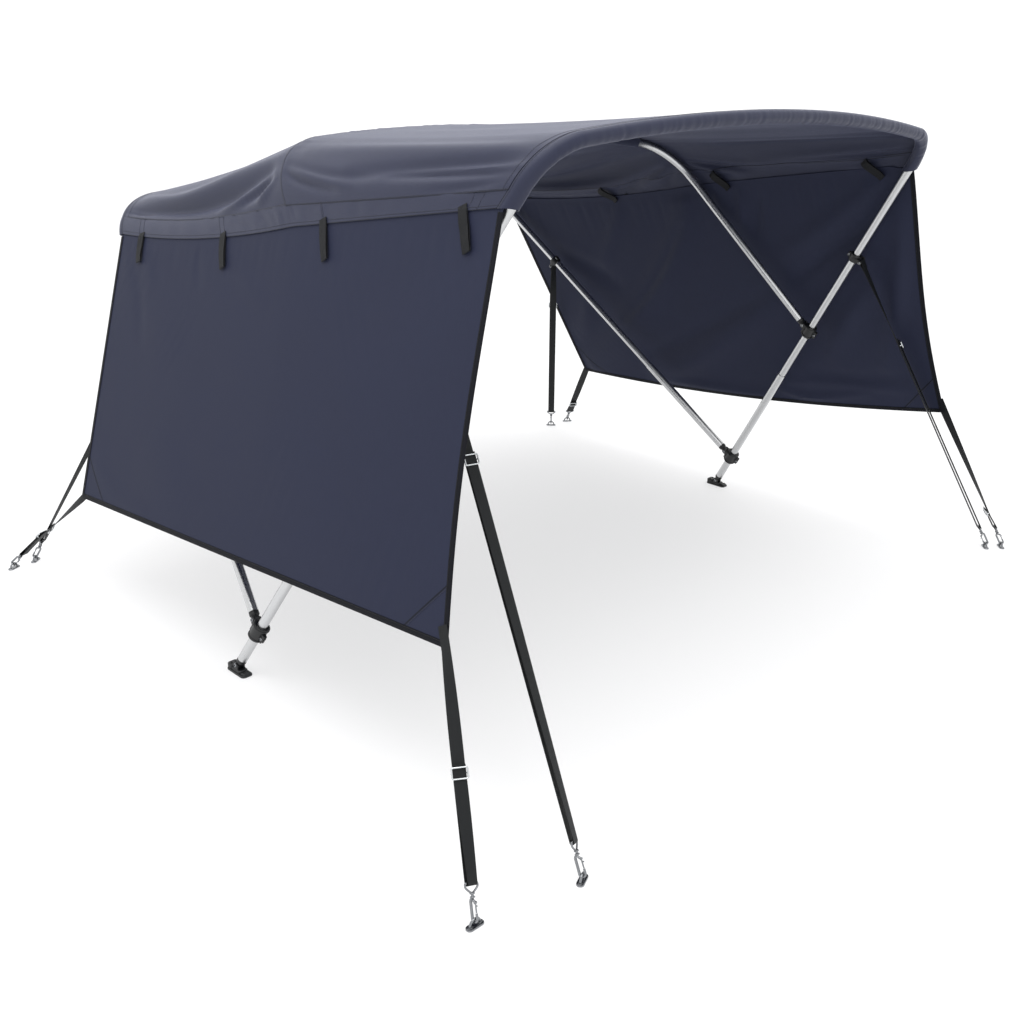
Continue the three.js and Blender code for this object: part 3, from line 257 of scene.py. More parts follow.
def loft(rings, around=None, lengths=None):
    """Closed body through rings of points, with flat ends."""
    rings = np.asarray(rings)
    rows, count = rings.shape[:2]
    points = rings.reshape(-1, 3)
    faces = grid_faces(rows, count, around=True)
    faces += [tuple(range(count))[::-1], tuple((rows - 1) * count + k for k in range(count))]
    if lengths is None:
        steps = np.linalg.norm(np.diff(rings.mean(1), axis=0), axis=1)
        lengths = np.concatenate([[0], np.cumsum(steps)])
    if around is None:
        around = np.arange(count)
    places = np.stack(np.broadcast_arrays(np.asarray(around)[None, :], lengths[:, None]), -1).reshape(-1, 2)
    return points, outward_faces(points, faces), places


def loop_loft(rings):
    """Wire closed on itself."""
    rings = np.asarray(rings)
    rows, count = rings.shape[:2]
    closed = np.concatenate([rings, rings[:1]])
    faces = [tuple(k % (rows * count) for k in face) for face in grid_faces(rows + 1, count, around=True)]
    points = closed[:rows].reshape(-1, 3)
    return points, outward_faces(points, faces)


def circle(radius, sides):
    angle = np.arange(sides) / sides * 2 * math.pi
    return np.stack([radius * np.cos(angle), radius * np.sin(angle)], 1)


def place(section, point, x, y):
    section = np.asarray(section, float)
    return point + section[:, :1] * x + section[:, 1:] * y


def tube(points, firsts, radius, sides=24):
    """Round bar through points. firsts point to the section's first corner."""
    points = np.asarray(points, float)
    firsts = np.broadcast_to(np.asarray(firsts, float), points.shape)
    radii = np.broadcast_to(np.asarray(radius, float), (len(points),))
    padded = np.concatenate([points[:1], points, points[-1:]])
    runs = unit(padded[2:] - padded[:-2])
    rings = []
    for point, first, run, size in zip(points, firsts, runs, radii):
        x = flatten(first, run)
        rings.append(place(circle(size, sides), point, x, cross(run, x)))
    around = np.arange(sides) / sides * 2 * math.pi * radii[0]
    return loft(rings, around)


def side_of(direction):
    return np.array([1.0, 0, 0]) if abs(direction[2]) > 0.9 else UP


def rod(start, end, radius, sides=20, chamfer=0.0):
    """Straight bar, with a chamfer at both ends where one is given."""
    run = unit(end - start)
    first = side_of(run)
    if not chamfer:
        return tube([start, end], first, radius, sides)
    points = [start, start + run * chamfer, end - run * chamfer, end]
    return tube(points, first, [radius - chamfer, radius, radius, radius - chamfer], sides)


def lathe(centre, axis, profile, sides=40):
    """Ring or knob from a closed profile of (radius, height along the axis)."""
    x = flatten(side_of(axis), axis)
    y = cross(axis, x)
    angles = np.arange(sides) / sides * 2 * math.pi
    spokes = np.cos(angles)[:, None] * x + np.sin(angles)[:, None] * y
    profile = np.asarray(profile, float)
    rings = [centre + profile[:, :1] * spoke + profile[:, 1:] * axis for spoke in spokes]
    return loop_loft(rings)


def ring(centre, axis, bore, wall, length, chamfer):
    half, outer = length / 2, bore + wall
    profile = [
        (bore, -half), (outer - chamfer, -half), (outer, -half + chamfer),
        (outer, half - chamfer), (outer - chamfer, half), (bore, half),
    ]
    return lathe(centre, axis, profile)


def block(centre, directions, sizes, radius):
    """Box with rounded edges about a centre."""
    mesh = bmesh.new()
    bmesh.ops.create_cube(mesh, size=1)
    bmesh.ops.scale(mesh, vec=Vector(sizes), verts=mesh.verts)
    bmesh.ops.bevel(mesh, geom=mesh.edges, offset=radius, segments=2, profile=0.5, affect="EDGES")
    axes = np.asarray(directions, float)
    if np.linalg.det(axes) < 0:
        axes = axes * np.array([[1], [1], [-1]])
    points = centre + np.array([v.co[:] for v in mesh.verts]) @ axes
    mesh.verts.ensure_lookup_table()
    faces = [tuple(v.index for v in face.verts) for face in mesh.faces]
    mesh.free()
    return points, outward_faces(points, faces)


def rounded(length, width, corner, steps, inset=0.0):
    """Outline of a rectangle with round corners, drawn in by an inset."""
    turns = np.concatenate([np.linspace(k, k + 1, steps) for k in range(4)]) * math.pi / 2
    signs = np.repeat([(1, 1), (-1, 1), (-1, -1), (1, -1)], steps, axis=0)
    middle = signs * np.array([length / 2 - corner, width / 2 - corner])
    return middle + (corner - inset) * np.stack([np.cos(turns), np.sin(turns)], 1)


def plate(centre, length_way, size, corner, chamfer):
    """Flat plate with round corners and a chamfered top."""
    length, width, height = size
    width_way = cross(UP, length_way)
    rings = []
    for z, inset in ((0, 0), (height - chamfer, 0), (height, chamfer)):
        outline = rounded(length, width, corner, 7, inset)
        rings.append(place(outline, centre + UP * z, length_way, width_way))
    return loft(rings)


def catmull(points, steps):
    """Smooth curve through points, with a number of parts for each span."""
    points = np.asarray(points, float)
    padded = np.concatenate([points[:1], points, points[-1:]])
    curve = []
    for a, b, c, d in zip(padded, padded[1:], padded[2:], padded[3:]):
        for t in np.arange(steps) / steps:
            curve.append(0.5 * (2 * b + (c - a) * t + (2 * a - 5 * b + 4 * c - d) * t ** 2
                                + (3 * b - a - 3 * c + d) * t ** 3))
    return np.array([*curve, points[-1]])


# Cloth

def grid_normals(grid):
    across = np.gradient(grid, axis=1)
    down = np.gradient(grid, axis=0)
    return cross(across, down)


class Cloth:
    """Sheet of cloth from the points of its outer face, with texture places along its yarns."""

    def __init__(self, grid, thickness=FABRIC, seam=None):
        self.grid = np.asarray(grid, float)
        self.normals = grid_normals(self.grid)
        self.thickness = thickness
        self.seam = np.full(self.grid.shape[:2], FAR) if seam is None else seam

    def lengths(self):
        across = np.linalg.norm(np.diff(self.grid, axis=1), axis=2)
        down = np.linalg.norm(np.diff(self.grid, axis=0), axis=2)
        zero = np.zeros((len(across), 1))
        u = np.concatenate([zero, np.cumsum(across, 1)], 1)
        v = np.concatenate([np.zeros((1, down.shape[1])), np.cumsum(down, 0)], 0)
        return np.stack([u - u.mean(1, keepdims=True), v], -1)

    def area(self):
        across = np.diff(self.grid, axis=1)[:-1]
        down = np.diff(self.grid, axis=0)[:, :-1]
        return float(np.linalg.norm(np.cross(across, down), axis=2).sum()) * MM ** 2

    def solid(self):
        """Both faces and the narrow edges."""
        rows, columns = self.grid.shape[:2]
        under = self.grid - self.normals * self.thickness
        total = rows * columns
        top = grid_faces(rows, columns)
        faces = top + [tuple(total + k for k in reversed(face)) for face in top]
        rim = [i * columns for i in range(rows)]
        rim += [(rows - 1) * columns + k for k in range(1, columns)]
        rim += [i * columns + columns - 1 for i in range(rows - 2, -1, -1)]
        rim += list(range(columns - 2, 0, -1))
        for a, b in zip(rim, rim[1:] + rim[:1]):
            faces.append((a, b, total + b, total + a))
        points = np.concatenate([self.grid.reshape(-1, 3), under.reshape(-1, 3)])
        corner, beside, below = self.grid[0, 0], self.grid[0, 1], self.grid[1, 0]
        if cross(beside - corner, below - corner) @ self.normals[0, 0] < 0:
            faces = [tuple(reversed(face)) for face in faces]
        places = self.lengths().reshape(-1, 2)
        return Solid().add(points, faces, np.tile(places, (2, 1)), np.tile(self.seam.ravel(), 2))

    def at(self, row, column, lift=0.0):
        """Points at fractional rows and columns, lifted off the outer face."""
        row, column = np.broadcast_arrays(np.asarray(row, float), np.asarray(column, float))
        i = np.clip(row.astype(int), 0, self.grid.shape[0] - 2)
        k = np.clip(column.astype(int), 0, self.grid.shape[1] - 2)
        r, c = (row - i)[..., None], (column - k)[..., None]

        def blend(values):
            near = mix(values[i, k], values[i, k + 1], c)
            return mix(near, mix(values[i + 1, k], values[i + 1, k + 1], c), r)
        return blend(self.grid) + unit(blend(self.normals)) * lift


ROWS = 40                        # rows of a bay, from bow to bow
HEM_STEPS, CORNER_STEPS, CROWN_STEPS = 8, 44, 90
LAP, RIDGE_LAP = 7, 6.3          # overlap at the valance seams and at the ridge
PANEL_LIFT = 0.7                 # the front panel lies this far over the sheets that it is sewn to
SAGS = {"front": {"crown": 8, "side": 0}, "rear": {"crown": 14, "side": 20}}
RIDGE = 15                       # cloth rounds the middle bow over this distance
RIDGE_EASE = 1.6                 # rows lie closer together towards the ridge
q_side = np.concatenate([
    np.linspace(0, 1, HEM_STEPS + 1)[:-1],
    np.linspace(1, 2, CORNER_STEPS + 1)[:-1],
    np.linspace(2, 3, CROWN_STEPS + 1),
])
CANOPY_Q = np.concatenate([np.where(q_side > 0, -q_side, -0.0), q_side[::-1][1:]])


# Small waves of the cloth, each as wavelengths and heights in mm
WAVES = {
    "gathers": ((31, 47, 83), (0.9, 1.2, 1.1)),
    "front_bay": ((150, 236, 330), (0.8, 1.2, 1.4)),
    "rear_bay": ((170, 262), (1.4, 2.0)),
    "hem": ((36, 61, 104), (0.35, 0.5, 0.6)),
    "puckers": ((19, 29, 43), (0.25, 0.35, 0.4)),
    "wall": ((27, 43, 71), (0.7, 1.1, 1.2)),
}


def ripples(s, seed, kind):
    """Uneven ripples along a seam."""
    wavelengths, sizes = WAVES[kind]
    phases = np.random.default_rng(seed).uniform(0, 2 * math.pi, (len(wavelengths), 2))
    total = np.zeros_like(s)
    for (phase, slow), wavelength, size in zip(phases, wavelengths, sizes):
        swell = 0.6 + 0.4 * np.sin(2 * math.pi * s / (wavelength * 7.3) + slow)
        total += size * swell * np.sin(2 * math.pi * s / wavelength + phase)
    return total


def bay_rows(start, end, shares, sag, q):
    on_crown = np.where(np.abs(q) < 1, 0, smoothstep(np.abs(q) - 1))[None, :, None]
    outward = MIDDLE.outward(MIDDLE.columns(q))[None]
    t = np.asarray(shares)[:, None, None]
    hollow = 4 * t * (1 - t)
    points = mix(start[None], end[None], t) - outward * hollow * on_crown * sag["crown"]
    return points - UP * hollow * (1 - on_crown) * sag["side"]


def canopy_grid(q):
    """Outer face of the canopy, front edge to rear edge, and the distance of its rows from the ridge."""
    edges = [
        MAIN.beside(MAIN.columns(q), MAIN.covers_at(q), SEAM_BACK),
        MIDDLE.beside(MIDDLE.columns(q), MIDDLE.covers_at(q), 0),
        REAR.beside(REAR.columns(q), REAR.covers_at(q), -SEAM_BACK),
    ]
    ease = np.linspace(0, 1, ROWS + 1)
    near_ridge = 1 - (1 - ease) ** RIDGE_EASE
    front = bay_rows(edges[0], edges[1], near_ridge, SAGS["front"], q)
    rear = bay_rows(edges[1], edges[2], 1 - near_ridge[::-1], SAGS["rear"], q)
    grid = np.concatenate([front, rear[1:]])
    steps = np.linalg.norm(np.diff(grid, axis=0), axis=2)
    along = np.concatenate([np.zeros((1, len(q))), np.cumsum(steps, 0)])
    return grid, along - along[ROWS]


def round_ridge(grid, from_ridge):
    """Lets the cloth run over the middle bow in a small curve in place of a sharp fold."""
    out = grid.copy()
    for k in range(grid.shape[1]):
        d = from_ridge[:, k]
        ends = [np.array([np.interp(x, d, grid[:, k, j]) for j in range(3)]) for x in (-RIDGE, RIDGE)]
        ridge = np.array([np.interp(0, d, grid[:, k, j]) for j in range(3)])
        for i in np.nonzero(np.abs(d) < RIDGE)[0]:
            t = 0.5 + d[i] / (2 * RIDGE)
            out[i, k] = (1 - t) ** 2 * ends[0] + 2 * t * (1 - t) * ridge + t ** 2 * ends[1]
    return out


# Folds of the canopy, the same on both sides: height outwards and width in mm, then places as (share of a
# bay, - to the front and + to the rear of the middle bow; q as in Bow.columns)
CANOPY_FOLDS = [
    (-11, 24, (-0.97, 1.33), (-0.7, 1.3), (-0.35, 1.28)),
    (6, 13, (-0.97, 1.24), (-0.75, 1.26), (-0.5, 1.25)),
    (-8, 15, (-0.96, 1.17), (-0.74, 1.2), (-0.5, 1.22)),
    (-4, 12, (-0.95, 1.08), (-0.85, 1.03), (-0.7, 1.02)),
    (-5, 15, (-0.03, 1.4), (-0.22, 1.27), (-0.42, 1.22)),
    (5, 11, (-0.05, 1.34), (-0.16, 1.25), (-0.32, 1.14)),
    (-8, 12, (-0.02, 1.3), (-0.1, 1.2), (-0.25, 1.09)),
    (8, 34, (-0.1, 1.62), (-0.5, 1.58), (-0.97, 1.5)),
    (14, 32, (0.9, 1.45), (0.66, 1.34), (0.42, 1.42), (0.26, 1.5), (0.05, 1.54)),
    (-19, 28, (0.93, 1.14), (0.75, 1.16), (0.5, 1.16), (0.28, 1.23), (0.08, 1.36)),
    (9, 13, (0.36, 1.06), (0.28, 1.12), (0.2, 1.22), (0.05, 1.34)),
    (-10, 12, (0.24, 1.08), (0.13, 1.2), (0.06, 1.3)),
    (6, 11, (0.14, 1.06), (0.1, 1.15), (0.04, 1.28)),
    (-4, 9, (0.97, 1.07), (0.82, 1.08)),
    (-2.6, 8, (0.3, 0.97), (0.24, 0.55), (0.2, 0.2)),
    (-2.8, 7, (0.16, 0.97), (0.12, 0.5), (0.11, 0.15)),
    (2.4, 8, (0.07, 0.97), (0.05, 0.6), (0.05, 0.2)),
    (-2.4, 6, (-0.03, 0.95), (-0.03, 0.3)),
    (-2, 6, (0.9, 0.9), (0.87, 0.5), (0.86, 0.2)),
    (1.8, 6, (0.84, 0.95), (0.82, 0.6), (0.83, 0.3)),
    (-2.4, 6, (0.44, 0.95), (0.4, 0.6), (0.38, 0.2)),
    (-2, 5, (0.34, 0.9), (0.31, 0.5), (0.32, 0.2)),
    (-1.6, 5, (-0.16, 0.9), (-0.18, 0.5), (-0.17, 0.2)),
    (-1.6, 5, (-0.23, 0.95), (-0.21, 0.6)),
    (-2.2, 6, (-0.86, 0.95), (-0.88, 0.5), (-0.87, 0.15)),
    (-1.8, 5, (-0.94, 0.9), (-0.91, 0.5), (-0.92, 0.2)),
]
FOLD_BAY = 850                   # length of a bay that the folds are measured in
FOLD_STEPS = 12                  # parts of each span of a fold
FOLD_ENDS = (0.12, 0.88)         # how far along half a sine wave a fold starts and ends
GATHERS_REACH = 55               # the gathers at the ridge fade over this distance
REAR_SLANT, HEM_SLANT = 0.42, 9  # how far small waves lean, in the rear bay and in the valances


def fold_heights(x, y, folds):
    """Height of the cloth over long folds, each a soft ridge along its run that fades at its ends."""
    total = np.zeros(np.broadcast(x, y).shape)
    for height, width, run in folds:
        curve = catmull(run, FOLD_STEPS)
        fade = np.sin(math.pi * np.linspace(*FOLD_ENDS, len(curve)))
        nearest = np.full(total.shape, np.inf)
        strength = np.zeros(total.shape)
        for (ax, ay), (bx, by), share in zip(curve, curve[1:], fade):
            length = math.hypot(bx - ax, by - ay)
            t = np.clip(((x - ax) * (bx - ax) + (y - ay) * (by - ay)) / length ** 2, 0, 1)
            distance = np.hypot(x - ax - t * (bx - ax), y - ay - t * (by - ay))
            strength = np.where(distance < nearest, share, strength)
            nearest = np.minimum(distance, nearest)
        total += height * strength * np.exp(-(nearest / width) ** 2)
    return total


def canopy_folds(from_ridge, q):
    """Soft folds of the canopy, outwards in millimetres."""
    size = np.abs(q)[None, :]
    across = MIDDLE.columns(q)[None, :]
    share = np.where(from_ridge < 0, -from_ridge / from_ridge[0], from_ridge / from_ridge[-1])
    middle_of_bay = np.sin(math.pi * np.clip(np.abs(share), 0, 1))
    gathers = ripples(across, 3, "gathers") * np.exp(-np.abs(from_ridge) / GATHERS_REACH)
    gathers *= smoothstep(size, 1.3, 2.1) * smoothstep(np.abs(from_ridge), 0, 8)
    long_waves = ripples(across, 8, "front_bay") * (from_ridge < 0)
    slanted = ripples(across + REAR_SLANT * from_ridge, 5, "rear_bay") * (from_ridge >= 0)
    upper = gathers + (long_waves + slanted) * middle_of_bay * smoothstep(size, 1.2, 2)
    hem = np.sin(math.pi * np.clip(size, 0, 1)) * smoothstep(np.abs(share), 1, 0.95)
    lower = hem * ripples(share * FOLD_BAY + HEM_SLANT * size, 14, "hem")
    folds = []
    for height, width, *places in CANOPY_FOLDS:
        run = [(a * FOLD_BAY, abs(float(MIDDLE.columns(-b)))) for a, b in places]
        folds.append((height, width, run))
    held = smoothstep(np.abs(share), 1, 0.94)
    return upper + lower + held * fold_heights(share * FOLD_BAY, np.abs(across), folds)


def make_canopy():
    grid, from_ridge = canopy_grid(CANOPY_Q)
    grid = round_ridge(grid, from_ridge)
    return grid + grid_normals(grid) * canopy_folds(from_ridge, CANOPY_Q)[..., None]


canopy = make_canopy()
FIRST = HEM_STEPS                       # column of the right valance seam
LAST = canopy.shape[1] - 1 - HEM_STEPS


def panel(rows, lapped_end):
    """A panel between the valance seams, reaching over them by the lap."""
    grid = canopy[rows[0]:rows[1] + 1, FIRST:LAST + 1]
    normals = grid_normals(canopy)[rows[0]:rows[1] + 1, FIRST:LAST + 1]
    raised = grid + normals * PANEL_LIFT
    right = raised[:, :1] + unit(raised[:, :1] - raised[:, 1:2]) * LAP
    left = raised[:, -1:] + unit(raised[:, -1:] - raised[:, -2:-1]) * LAP
    full = np.concatenate([right, raised, left], 1)
    if lapped_end:
        full = np.concatenate([full, full[-1:] + unit(full[-1:] - full[-2:-1]) * RIDGE_LAP])
    across = np.cumsum(np.linalg.norm(np.diff(full, axis=1, prepend=full[:, :1]), axis=2), 1)
    # distance from the lapped edges, along which the canvas paints a seam shadow line
    seam = np.minimum(across, across[:, -1:] - across)
    if lapped_end:
        down = np.linalg.norm(full - full[-1:], axis=2)
        seam = np.minimum(seam, down)
    return Cloth(full, seam=seam)


front_panel = panel((0, ROWS), True)
rear_panel = panel((ROWS, 2 * ROWS), False)
rear_panel.grid[:] -= rear_panel.normals * PANEL_LIFT


def valance(columns):
    """Strip between a side seam and the hem, with painted shadow lines along both."""
    grid = canopy[:, columns]
    edges = [np.linalg.norm(grid - grid[:, end][:, None], axis=2) for end in (0, -1)]
    return Cloth(grid, seam=np.minimum(*edges))


valances = {"right": valance(slice(0, FIRST + 1)), "left": valance(slice(LAST, canopy.shape[1]))}


# Side walls

WALLS = {
    "right": {"front_foot": (835, -1055, 402), "rear_foot": (-710, -1055, 277), "hollow": 19, "sag": 0},
    "left": {"front_foot": (808, 1047, 448), "rear_foot": (-680, 1050, 296), "hollow": 19, "sag": 30},
}
WALL_TUCK = 12                  # the wall reaches this far up behind the valance
WALL_END_TUCK = 4               # and this far into the ends of the sleeves
WALL_BEHIND = 0.9               # it lies this far behind the valance's inner face
WALL_START = 2.6                # its second row lies this far below the hem
WALL_REACH = {"front": 17, "rear": 10}  # its ends reach this far beyond the panels' edges
SLEEVE_SHARE = 0.045            # share of a bay that lies beside the end sleeves
WALL_LEAVES = 0.03              # share of a bay over which the wall slips behind the hem
WALL_ROWS, WALL_COLUMNS = 84, 190
HOLLOW_LOW = 1.3                # its front edge is most hollow a little below the middle
# Folds fade towards the wall's edges, from these shares of its length and height
FOLDS_FREE = {"front": 0.04, "rear": 0.96, "hem": 0.05, "foot": 0.97}
# Folds: height outwards in mm, width in shares of the wall's height, then places as (share of the length from
# the front, share of the height from the hem)
WALL_FOLDS = {
    "right": [
        (3, 0.16, (0.1, 0.95), (0.42, 0.7)),
        (4, 0.15, (0.98, 0.06), (0.72, 0.4)),
        (-3, 0.16, (0.03, 0.05), (0.3, 0.3)),
        (2.5, 0.13, (0.62, 0.96), (0.8, 0.7)),
        (-2.5, 0.035, (0.96, 0.04), (0.9, 0.2), (0.87, 0.36)),
        (2, 0.03, (0.9, 0.03), (0.86, 0.16)),
        (2, 0.035, (0.62, 0.03), (0.56, 0.14), (0.5, 0.22)),
        (-1.6, 0.025, (0.72, 0.03), (0.7, 0.16)),
        (2.5, 0.04, (0.98, 0.84), (0.9, 0.93), (0.78, 0.97)),
    ],
    "left": [
        (-21, 0.07, (0.49, 0.03), (0.53, 0.2), (0.62, 0.42), (0.78, 0.69), (0.95, 0.93)),
        (10, 0.022, (0.52, 0.15), (0.6, 0.34), (0.68, 0.49), (0.77, 0.62)),
        (-18, 0.065, (0.3, 0.47), (0.45, 0.66), (0.64, 0.86), (0.74, 0.92)),
        (10, 0.035, (0.33, 0.46), (0.53, 0.64), (0.73, 0.82)),
        (-8, 0.035, (0.67, 0.04), (0.7, 0.14), (0.77, 0.31)),
        (10, 0.05, (0.9, 0.27), (0.81, 0.36), (0.76, 0.42)),
        (-8, 0.022, (0.72, 0.955), (0.56, 0.965), (0.42, 0.97)),
        (-8, 0.018, (0.39, 0.93), (0.3, 0.965), (0.16, 0.93)),
        (-6, 0.02, (0.37, 0.9), (0.22, 0.89), (0.07, 0.91)),
        (6, 0.03, (0.28, 0.84), (0.17, 0.86), (0.06, 0.84)),
        (-13, 0.045, (0.02, 0.15), (0.05, 0.48), (0.1, 0.8)),
        (13, 0.03, (0.03, 0.03), (0.1, 0.19), (0.19, 0.31), (0.26, 0.4)),
        (-13, 0.045, (0.07, 0.05), (0.17, 0.18), (0.28, 0.3)),
        (-13, 0.05, (0.1, 0.45), (0.16, 0.58), (0.22, 0.74)),
        (10, 0.06, (0.2, 0.5), (0.26, 0.64), (0.34, 0.8)),
        (-10, 0.05, (0.86, 0.5), (0.9, 0.64), (0.95, 0.75)),
        (-6, 0.02, (0.36, 0.04), (0.37, 0.16)),
        (6, 0.022, (0.32, 0.04), (0.34, 0.2)),
    ],
}
WALL_RIPPLES = {"reach": 0.07, "right": 0.45, "left": 1.5}
# Corner patches: how far they reach along the edges. Within "near" of a patch's edge the distance has a sign,
# which keeps the painted seam shadow straight on a coarse grid, and just beyond it no other seam shadow is
# painted.
PATCH = {"run": 140, "rise": 127, "near": 14, "stitches_inside": 4}


def wall_top(key):
    """Hem of the valance at even steps from front to rear, with its directions up and outwards."""
    side = SIDES[key]
    strip, _ = canopy_grid(np.array([0.0, 0.5, 1.0]) * side)
    normals = grid_normals(strip)[:, 0]
    normals = normals * np.sign(np.mean(normals[:, 1]) * side)
    travel = np.concatenate([[0], np.cumsum(np.linalg.norm(np.diff(strip[:, 0], axis=0), axis=1))])
    even = np.linspace(0, travel[-1], WALL_COLUMNS + 1)

    def at(values):
        return np.stack([np.interp(even, travel, values[:, j]) for j in range(3)], 1)
    return at(strip[:, 0]), at(unit(strip[:, 2] - strip[:, 0])), at(normals), even, travel[ROWS]


def past_patch(grid, end):
    """Distance of a wall's points beyond the slanting edge of the patch on its first or last column."""
    along = np.linalg.norm(grid - grid[:, end:][:, :1], axis=2)
    rise = np.linalg.norm(grid - grid[-1:], axis=2)
    slope = math.hypot(1 / PATCH["run"], 1 / PATCH["rise"])
    return (along / PATCH["run"] + rise / PATCH["rise"] - 1) / slope


def wall(key):
    """Side wall: first row hidden behind the valance, last row along its foot, front to rear."""
    sizes, side = WALLS[key], SIDES[key]
    hem, up, normals, travel, ridge = wall_top(key)
    bays = (ridge, travel[-1] - ridge)
    ends = (SLEEVE_SHARE * bays[0], travel[-1] - SLEEVE_SHARE * bays[1])
    tucked = (ends[0] + WALL_LEAVES * bays[0], ends[1] - WALL_LEAVES * bays[1])

    def edge(rise, end_rise):
        lift = np.interp(travel, (ends[0], tucked[0], tucked[1], ends[1]), (end_rise, rise, rise, end_rise))
        points = hem + up * lift[:, None] - normals * (SHEET + WALL_BEHIND)
        first = points[0] - MAIN.backward * WALL_REACH["front"]
        last = points[-1] + REAR.backward * WALL_REACH["rear"]
        held = [np.array([np.interp(x, travel, points[:, j]) for j in range(3)]) for x in ends]
        out = points.copy()
        for i, x in enumerate(travel):
            if x < ends[0]:
                out[i] = mix(first, held[0], x / ends[0])
            if x > ends[1]:
                out[i] = mix(held[1], last, (x - ends[1]) / (travel[-1] - ends[1]))
        return out

    hidden, top = edge(WALL_TUCK, WALL_END_TUCK), edge(-WALL_START, -WALL_START)
    foot = [np.array(sizes[end], float) for end in ("front_foot", "rear_foot")]
    length, height = np.linalg.norm(top[-1] - top[0]), np.linalg.norm(foot[0] - top[0])
    u = np.linalg.norm(top - top[0], axis=1) / length
    v = np.linspace(0, 1, WALL_ROWS + 1)[:, None]
    bottom = mix(foot[0], foot[1], u[:, None]) - UP * (4 * sizes["sag"] * u * (1 - u))[:, None]
    grid = mix(top[None], bottom[None], v[..., None])
    grid[..., 0] -= sizes["hollow"] * np.sin(math.pi * v ** HOLLOW_LOW) * (1 - u)
    grid = np.concatenate([hidden[None], grid])
    u, v = np.broadcast_arrays(u[None], np.concatenate([[[0]], v]))
    free = smoothstep(u, 0, FOLDS_FREE["front"]) * smoothstep(u, 1, FOLDS_FREE["rear"])
    free = free * smoothstep(v, 0, FOLDS_FREE["hem"]) * smoothstep(v, 1, FOLDS_FREE["foot"])
    aspect = length / height
    folds = [(high, wide, [(a * aspect, b) for a, b in run]) for high, wide, *run in WALL_FOLDS[key]]
    ripple = ripples(u * length, 31 + side, "wall")
    ripple = ripple * np.exp(-v / WALL_RIPPLES["reach"]) * WALL_RIPPLES[key]
    out = grid_normals(grid)
    out = out * np.sign(np.mean(out[..., 1]) * side)
    grid = grid + out * (free * (fold_heights(u * aspect, v, folds) + ripple))[..., None]
    # Distance from the corner patches' edges, along which the canvas paints a seam shadow line.
    seam = np.full(u.shape, FAR)
    for end in (0, -1):
        past = past_patch(grid, end)
        seam = np.where(np.abs(past) < PATCH["near"], past, seam)
    return Cloth(*((grid, FABRIC, seam) if side < 0 else (grid[:, ::-1], FABRIC, seam[:, ::-1])))


walls = {key: wall(key) for key in SIDES}

BINDING = {
    "leg": 12, "half": 1.6, "thick": 0.7, "fold": 1.5, "start": 4, "swell": 0.15,
    "stitches_inside": 2.5, "stitch_lift": 0.35,
}


def wall_binding(cloth):
    """Tape folded round the front, lower and rear edges."""
    rows, columns = cloth.grid.shape[:2]
    span = np.linalg.norm(cloth.grid[2, 0] - cloth.grid[1, 0])
    first = 1 + BINDING["start"] / span
    down = np.concatenate([[first], np.arange(math.ceil(first + 0.5), rows)])
    stations = [(r, 0) for r in down] + [(rows - 1, c) for c in range(1, columns)]
    stations += [(r, columns - 1) for r in down[::-1][1:]]
    r, c = np.array(stations, float).T
    points = cloth.at(r, c, -cloth.thickness / 2)
    normals = unit(cloth.at(r, c, 1) - cloth.at(r, c, 0))
    runs = unit(np.diff(points, axis=0))
    inward = cross(mix(normals[:-1], normals[1:], 0.5), runs)
    inward = inward * np.sign((cloth.grid.mean((0, 1)) - points[0]) @ inward[0])
    before = np.concatenate([inward[:1], inward])
    after = np.concatenate([inward, inward[-1:]])
    mitre = (before + after) / (1 + np.sum(before * after, 1, keepdims=True))
    leg, half, thick, fold, swell = (BINDING[k] for k in ("leg", "half", "thick", "fold", "swell"))
    section = [
        (leg, half), (leg * 0.5, half + swell), (0, half), (-fold * 0.8, half * 0.55), (-fold, 0),
        (-fold * 0.8, -half * 0.55), (0, -half), (leg * 0.5, -half - swell), (leg, -half),
        (leg, -half + thick), (0, -half + thick), (-fold + thick, 0), (0, half - thick), (leg, half - thick),
    ]
    rings = [place(section, p, x, n) for p, x, n in zip(points, mitre, normals)]
    around = np.concatenate([[0], np.cumsum(np.linalg.norm(np.diff(section, axis=0), axis=1))])
    inset, lift = leg - BINDING["stitches_inside"], half + BINDING["stitch_lift"]
    lines = [points + mitre * inset + normals * face * lift for face in (1, -1)]
    return loft(rings, around), lines


# Sleeves

SLEEVES = {
    "front_sleeve": {
        "bow": MAIN, "q": 0, "thick": 1.1,
        "section": [
            (9.4, 13.9), (0, 14.4), (-8, 13.4), (-14.6, 8.4), (-16.4, 1), (-15.8, -5), (-11.6, -11.6),
            (-5, -15.6), (1, -16.8), (8, -13.6), (14.3, -8.8), (16.4, 0), (16.5, 9.6),
        ],
    },
    "rear_sleeve": {
        "bow": REAR, "q": 0, "thick": 1.1,
        "section": [
            (-16.5, 9.6), (-16.4, 0), (-14.5, -9), (-8, -13.8), (-1, -17), (5, -15.8), (12.4, -12),
            (15.6, -6), (16, 1), (14.6, 8.4), (8, 13.4), (0, 14.4), (-9.2, 13.9),
        ],
    },
    "middle_sleeve": {
        "bow": MIDDLE, "q": 2, "thick": 0.9,
        "section": [
            (-22, 8.6), (-17, 8.2), (-15.4, 0), (-11, -11), (0, -15.4),
            (11, -11), (15.4, 0), (17, 7.8), (22, 8.2),
        ],
    },
}


SLACK = {"at": 0.47, "over": 0.2}  # where the puckers are, in shares of the way round the bow


